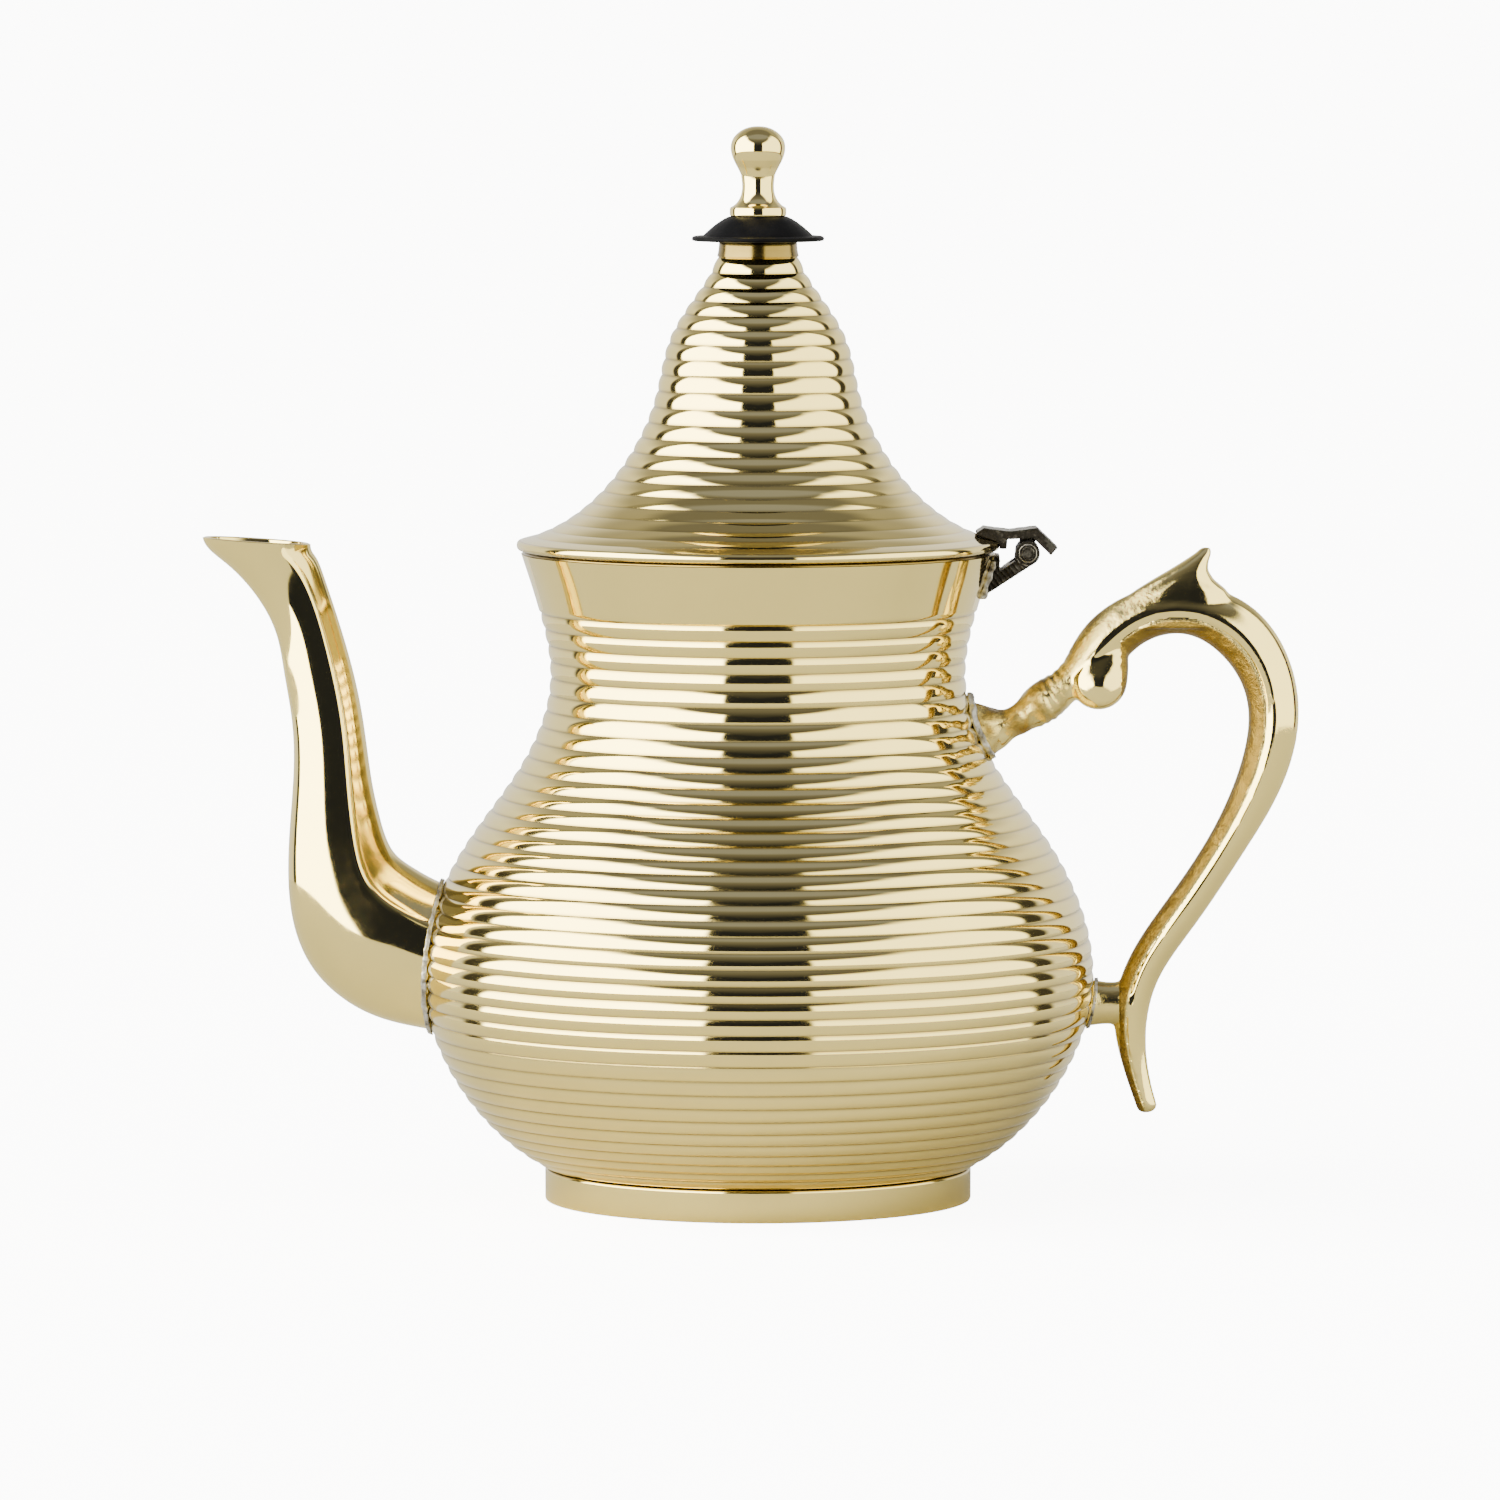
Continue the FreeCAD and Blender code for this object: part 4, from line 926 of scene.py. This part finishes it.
def mark_unpolished(handle):
    """Unpolished metal on the inside of the loop, on the back of the wrist and round the neck."""
    spine = smooth_line([row[:2] for row in HANDLE], SPINE_STEPS)
    run = np.gradient(spine, axis=0)
    run /= np.linalg.norm(run, axis=1)[:, None]
    at = distances(np.array([row[:2] for row in HANDLE]))
    thick = np.interp(np.linspace(0, 1, SPINE_STEPS), at / at[-1], [row[2] for row in HANDLE])
    tree = kdtree.KDTree(SPINE_STEPS)
    for i, (x, z) in enumerate(spine):
        tree.insert((x, 0.0, z), i)
    tree.balance()
    values = []
    for vert in handle.data.vertices:
        place = Vector([c / MM for c in vert.co])
        x, _, z = place
        _, i, _ = tree.find((x, 0.0, z))
        inner = ((x - spine[i][0]) * run[i][1] - (z - spine[i][1]) * run[i][0]) * 2.0 / thick[i]
        strip = fade(inner - STRIP_FROM, STRIP_FADE) if x > STRIP_START else 0.0
        neck = neck_share(x, z) * (NECK_DIRT + lumps(place, NECK_STAINS))
        wrist = 0.0
        if z > UPPER_HALF:
            wrist = fade(WRIST_FROM - inner, WRIST_FADE) * fade(WRIST_END - x, WRIST_REACH)
        wrist *= WRIST_DIRT + lumps(place, WRIST_STAINS)
        peg = PEG_DIRT if z < PEG_DIRT_TOP and x < PEG_DIRT_END else 0.0
        values.append(max(strip, neck, wrist, peg))
    mark_tarnish_and_painted_light(handle.data, values)


# Hinge and solder.

def softened(node, name, voxel, passes, change):
    """A solid of the frame as a casting: its edges flowed round, then each place moved along its normal."""
    piece = show(name, NODES[node].data.copy())
    tidy_mesh(piece)
    cast_as_one(piece, voxel, passes)
    move_along_normals(piece, change)
    piece.data.shade_smooth()
    return piece


def make_solder():
    for node, name, size, stand in SOLDER:
        def flow(place, normal):
            return lumps(place, size) + stand

        bead = softened(node, name, SOLDER_VOXEL, SOLDER_PASSES, flow)
        dress(bead, "pot", "solder", solder_metal, node)


def bracket_relief(place, normal):
    """File marks across the slanted cheeks, and a raised ring round the pin."""
    uneven = lumps(place, BRACKET_LUMPS)
    if abs(normal.y) < CHEEK_FACING:
        return uneven
    dx, dz = place.x - PIN[0], place.z - PIN[1]
    away = math.hypot(dx, dz)
    if away < PIN_BOSS:
        return uneven + (PIN_RING_HEIGHT if PIN_RING[0] < away < PIN_RING[1] else PIN_BOSS_HOLLOW)
    across = dx * CHEEK_FILE_WAY[0] + dz * CHEEK_FILE_WAY[1]
    return uneven + CHEEK_FILE_DEPTH * math.sin(across * 2.0 * math.pi / CHEEK_FILE_PITCH)


def arm_relief(place, normal):
    """Shallow notches along the sides of the arm; its eye is kept free of the pin."""
    if math.hypot(place.x - PIN[0], place.z - PIN[1]) < EYE_REACH:
        return EYE_FREE
    uneven = lumps(place, ARM_LUMPS)
    if abs(normal.y) < CHEEK_FACING:
        return uneven
    return uneven - ARM_NOTCH_DEPTH * max(0.0, math.sin(place.x * 2.0 * math.pi / ARM_NOTCH_PITCH))


def pin_relief(place, normal):
    """The shank is kept free of the lid's eye, and only the riveted ends are uneven."""
    return SHANK_FREE if abs(normal.y) < CHEEK_FACING else lumps(place, RIVET_LUMPS)


def darken_hollows(piece):
    """Dark metal everywhere but on edges and raised places, which are rubbed bright, and faces that look up,
    which are kept lighter as painted light from above.
    """
    mesh = piece.data
    count = len(mesh.vertices)
    places = np.empty(count * 3)
    normals = np.empty(count * 3)
    ends = np.empty(len(mesh.edges) * 2, int)
    mesh.vertices.foreach_get("co", places)
    mesh.vertices.foreach_get("normal", normals)
    mesh.edges.foreach_get("vertices", ends)
    places, normals, ends = places.reshape(-1, 3), normals.reshape(-1, 3), ends.reshape(-1, 2)
    pull = np.zeros((count, 3))
    met = np.zeros(count)
    for near, far in ((0, 1), (1, 0)):
        np.add.at(pull, ends[:, near], places[ends[:, far]])
        np.add.at(met, ends[:, near], 1.0)
    lift = np.sum((places - pull / met[:, None]) * normals, axis=1) / MM
    dark = np.clip(1.0 - (lift - HINGE_WORN) / HINGE_WORN, 0.0, 1.0)
    # Faces that look up stay lighter: painted light from above.
    mark_tarnish_and_painted_light(mesh, np.where(normals[:, 2] > PAINTED_LIT_TOP_FACING, np.minimum(dark, PAINTED_LIT_TOP_DARK), dark))


def make_hinge():
    for node, name, body, relief in (("hinge_bracket", "hinge_cheeks_casting", "pot", bracket_relief),
                                     ("lid_hinge_arm", "lid_arm_casting", "lid", arm_relief),
                                     ("hinge_pin", "hinge_pin_rivet", "pot", pin_relief)):
        piece = softened(node, name, HINGE_VOXEL, HINGE_PASSES, relief)
        darken_hollows(piece)
        dress(piece, body, "dark_hinge_metal", hinge_metal, node)


# Floor, light and camera, in metres. Bearings are in degrees from the camera's side.

FLOOR_RADIUS = 40.0
FLOOR_DROP = -0.0001
FLOOR_SEEN = (0.95, 0.95, 0.95, 1.0)
FLOOR_MIRRORED = (0.42, 0.42, 0.41, 1.0)
FLOOR_GLOW = 9.0
TABLE_REACH = 0.62

LEFT_PANEL, RIGHT_PANEL, PANEL_BLEND = (12.0, 11.7, 10.6), (4.0, 3.85, 3.1), (-18.0, 18.0)
GAP, GAP_EDGE = (0.022, 0.025, 0.045), (17.5, 20.0)
CORNER_LOW, CORNER_HIGH, CORNER_RISE = (0.06, 0.058, 0.06), (0.35, 0.34, 0.33), (12.0, 36.0)
CORNER_EDGE = (108.0, 112.0)
BACKDROP_LOW, BACKDROP_HIGH, BACKDROP_RISE = (1.4, 1.38, 1.32), (0.5, 0.49, 0.47), (16.0, 40.0)
BACKDROP_EDGE = (120.0, 125.0)
BELOW_TABLE, TABLE_EDGE = (0.12, 0.11, 0.09), (-16.0, -14.0)
CEILING_LOW, CEILING_HIGH, CEILING_RISE = (0.06, 0.062, 0.08), (0.21, 0.213, 0.25), (20.0, 55.0)
FRONT_LAMPS, FRONT_LAMPS_RISE, FRONT_LAMPS_EDGE = (0.36, 0.39, 0.58), (48.0, 62.0), (75.0, 105.0)
CEILING_SLOPE, CEILING_SIDE, CEILING_EDGE = -0.5, 75.0, (10.0, 22.0)
SEEN_BACKGROUND = (8.0, 8.0, 8.0)

LAMP_SIZE = (1.6, 1.2)
LAMP_POWER = 22.0
LAMP_PLACE = (-0.3, -0.5, 2.0)
LAMP_TILT = (14.0, -8.0, 0.0)

CAMERA_LENS = 257.63
CAMERA_PLACE = (0.0, -1.950, 0.238)
CAMERA_AIM = (-0.001458, 0.0, 0.08212)


def make_floor():
    """A wide pale floor; mirrored in the metal it ends like a table, and the panels go on below it."""
    edit = bmesh.new()
    bmesh.ops.create_circle(edit, cap_ends=True, segments=96, radius=FLOOR_RADIUS)
    mesh = bpy.data.meshes.new("floor")
    edit.to_mesh(mesh)
    edit.free()
    floor = show("floor", mesh)
    floor.location.z = FLOOR_DROP
    pale = bpy.data.materials.new("pale floor")
    pale.use_nodes = True
    tree = pale.node_tree
    link = tree.links.new
    shader = tree.nodes["Principled BSDF"]
    shader.inputs["Roughness"].default_value = 0.9
    shader.inputs["Specular IOR Level"].default_value = 0.1
    shader.inputs["Emission Color"].default_value = (1.0, 1.0, 1.0, 1.0)
    eye = add(tree, "ShaderNodeLightPath")
    tone = add(tree, "ShaderNodeMix", data_type="RGBA", sockets={6: FLOOR_MIRRORED, 7: FLOOR_SEEN})
    link(eye.outputs["Is Camera Ray"], tone.inputs["Factor"])
    link(tone.outputs[2], shader.inputs["Base Color"])
    glow = add(tree, "ShaderNodeMath", operation="MULTIPLY", sockets={1: FLOOR_GLOW})
    link(eye.outputs["Is Camera Ray"], glow.inputs[0])
    link(glow.outputs[0], shader.inputs["Emission Strength"])
    place = add(tree, "ShaderNodeTexCoord")
    away = add(tree, "ShaderNodeVectorMath", operation="LENGTH")
    link(place.outputs["Object"], away.inputs[0])
    beyond = add(tree, "ShaderNodeMath", operation="GREATER_THAN", sockets={1: TABLE_REACH})
    link(away.outputs["Value"], beyond.inputs[0])
    mirrored = add(tree, "ShaderNodeMath", operation="MULTIPLY")
    link(beyond.outputs[0], mirrored.inputs[0])
    link(eye.outputs["Is Glossy Ray"], mirrored.inputs[1])
    clear = add(tree, "ShaderNodeBsdfTransparent")
    either = add(tree, "ShaderNodeMixShader")
    link(mirrored.outputs[0], either.inputs[0])
    link(shader.outputs[0], either.inputs[1])
    link(clear.outputs[0], either.inputs[2])
    link(either.outputs[0], tree.nodes["Material Output"].inputs["Surface"])
    mesh.materials.append(pale)


def make_studio():
    """Two tall soft panels with a dark gap between them at the camera, a pale backdrop and a dim ceiling."""
    world = bpy.data.worlds.new("soft studio")
    bpy.context.scene.world = world
    world.use_nodes = True
    tree = world.node_tree
    link = tree.links.new
    background = tree.nodes["Background"]

    def maths(operation, *sources):
        node = add(tree, "ShaderNodeMath", operation=operation)
        for socket, source in zip(node.inputs, sources):
            if isinstance(source, float):
                socket.default_value = source
            else:
                link(source, socket)
        return node.outputs[0]

    def rise(source, span):
        step = add(tree, "ShaderNodeMapRange", interpolation_type="SMOOTHSTEP",
                   sockets={1: math.radians(span[0]), 2: math.radians(span[1]), 3: 0.0, 4: 1.0})
        link(source, step.inputs[0])
        return step.outputs[0]

    def over(factor, below, above):
        mix = add(tree, "ShaderNodeMix", data_type="RGBA")
        link(factor, mix.inputs["Factor"])
        for place, source in ((6, below), (7, above)):
            if isinstance(source, tuple):
                mix.inputs[place].default_value = (*source, 1.0)
            else:
                link(source, mix.inputs[place])
        return mix.outputs[2]

    split = add(tree, "ShaderNodeSeparateXYZ")
    link(add(tree, "ShaderNodeTexCoord").outputs["Generated"], split.inputs[0])
    bearing = maths("ARCTAN2", split.outputs["X"], maths("MULTIPLY", split.outputs["Y"], -1.0))
    off = maths("ABSOLUTE", bearing)
    height = maths("ARCSINE", split.outputs["Z"])
    panels = over(rise(bearing, PANEL_BLEND), LEFT_PANEL, RIGHT_PANEL)
    walls = over(rise(off, GAP_EDGE), GAP, panels)
    corner = over(rise(height, CORNER_RISE), CORNER_LOW, CORNER_HIGH)
    walls = over(rise(off, CORNER_EDGE), walls, corner)
    backdrop = over(rise(height, BACKDROP_RISE), BACKDROP_LOW, BACKDROP_HIGH)
    walls = over(rise(off, BACKDROP_EDGE), walls, backdrop)
    walls = over(rise(height, TABLE_EDGE), BELOW_TABLE, walls)
    ceiling = over(rise(height, CEILING_RISE), CEILING_LOW, CEILING_HIGH)
    lamps = over(rise(height, FRONT_LAMPS_RISE), ceiling, FRONT_LAMPS)
    ceiling = over(rise(off, FRONT_LAMPS_EDGE), lamps, ceiling)
    side = maths("MINIMUM", off, math.radians(CEILING_SIDE))
    lean = maths("MULTIPLY_ADD", side, CEILING_SLOPE, height)
    room = over(rise(lean, CEILING_EDGE), walls, ceiling)
    eye = add(tree, "ShaderNodeLightPath")
    link(over(eye.outputs["Is Camera Ray"], room, SEEN_BACKGROUND), background.inputs["Color"])
    background.inputs["Strength"].default_value = 1.0


def make_overhead_light():
    lamp = bpy.data.lights.new("overhead softbox", "AREA")
    lamp.shape = "RECTANGLE"
    lamp.size, lamp.size_y = LAMP_SIZE
    lamp.energy = LAMP_POWER
    holder = show("overhead softbox", lamp)
    holder.location = LAMP_PLACE
    holder.rotation_euler = [math.radians(turn) for turn in LAMP_TILT]
    holder.visible_camera = False
    holder.visible_glossy = False


def make_camera():
    lens = bpy.data.cameras.new("camera")
    lens.lens = CAMERA_LENS
    lens.sensor_width = 36.0
    lens.clip_start = 0.1
    lens.clip_end = 200.0
    holder = show("camera", lens)
    holder.location = CAMERA_PLACE
    aim = Vector(CAMERA_AIM) - holder.location
    holder.rotation_euler = aim.to_track_quat("-Z", "Y").to_euler()
    bpy.context.scene.camera = holder


make_camera()
make_pot()
make_foot()
make_lid()
make_hat()
make_knob()
make_stud()
make_nut()
make_washer()
make_spout()
make_handle()
make_hinge()
make_solder()
make_floor()
make_studio()
make_overhead_light()
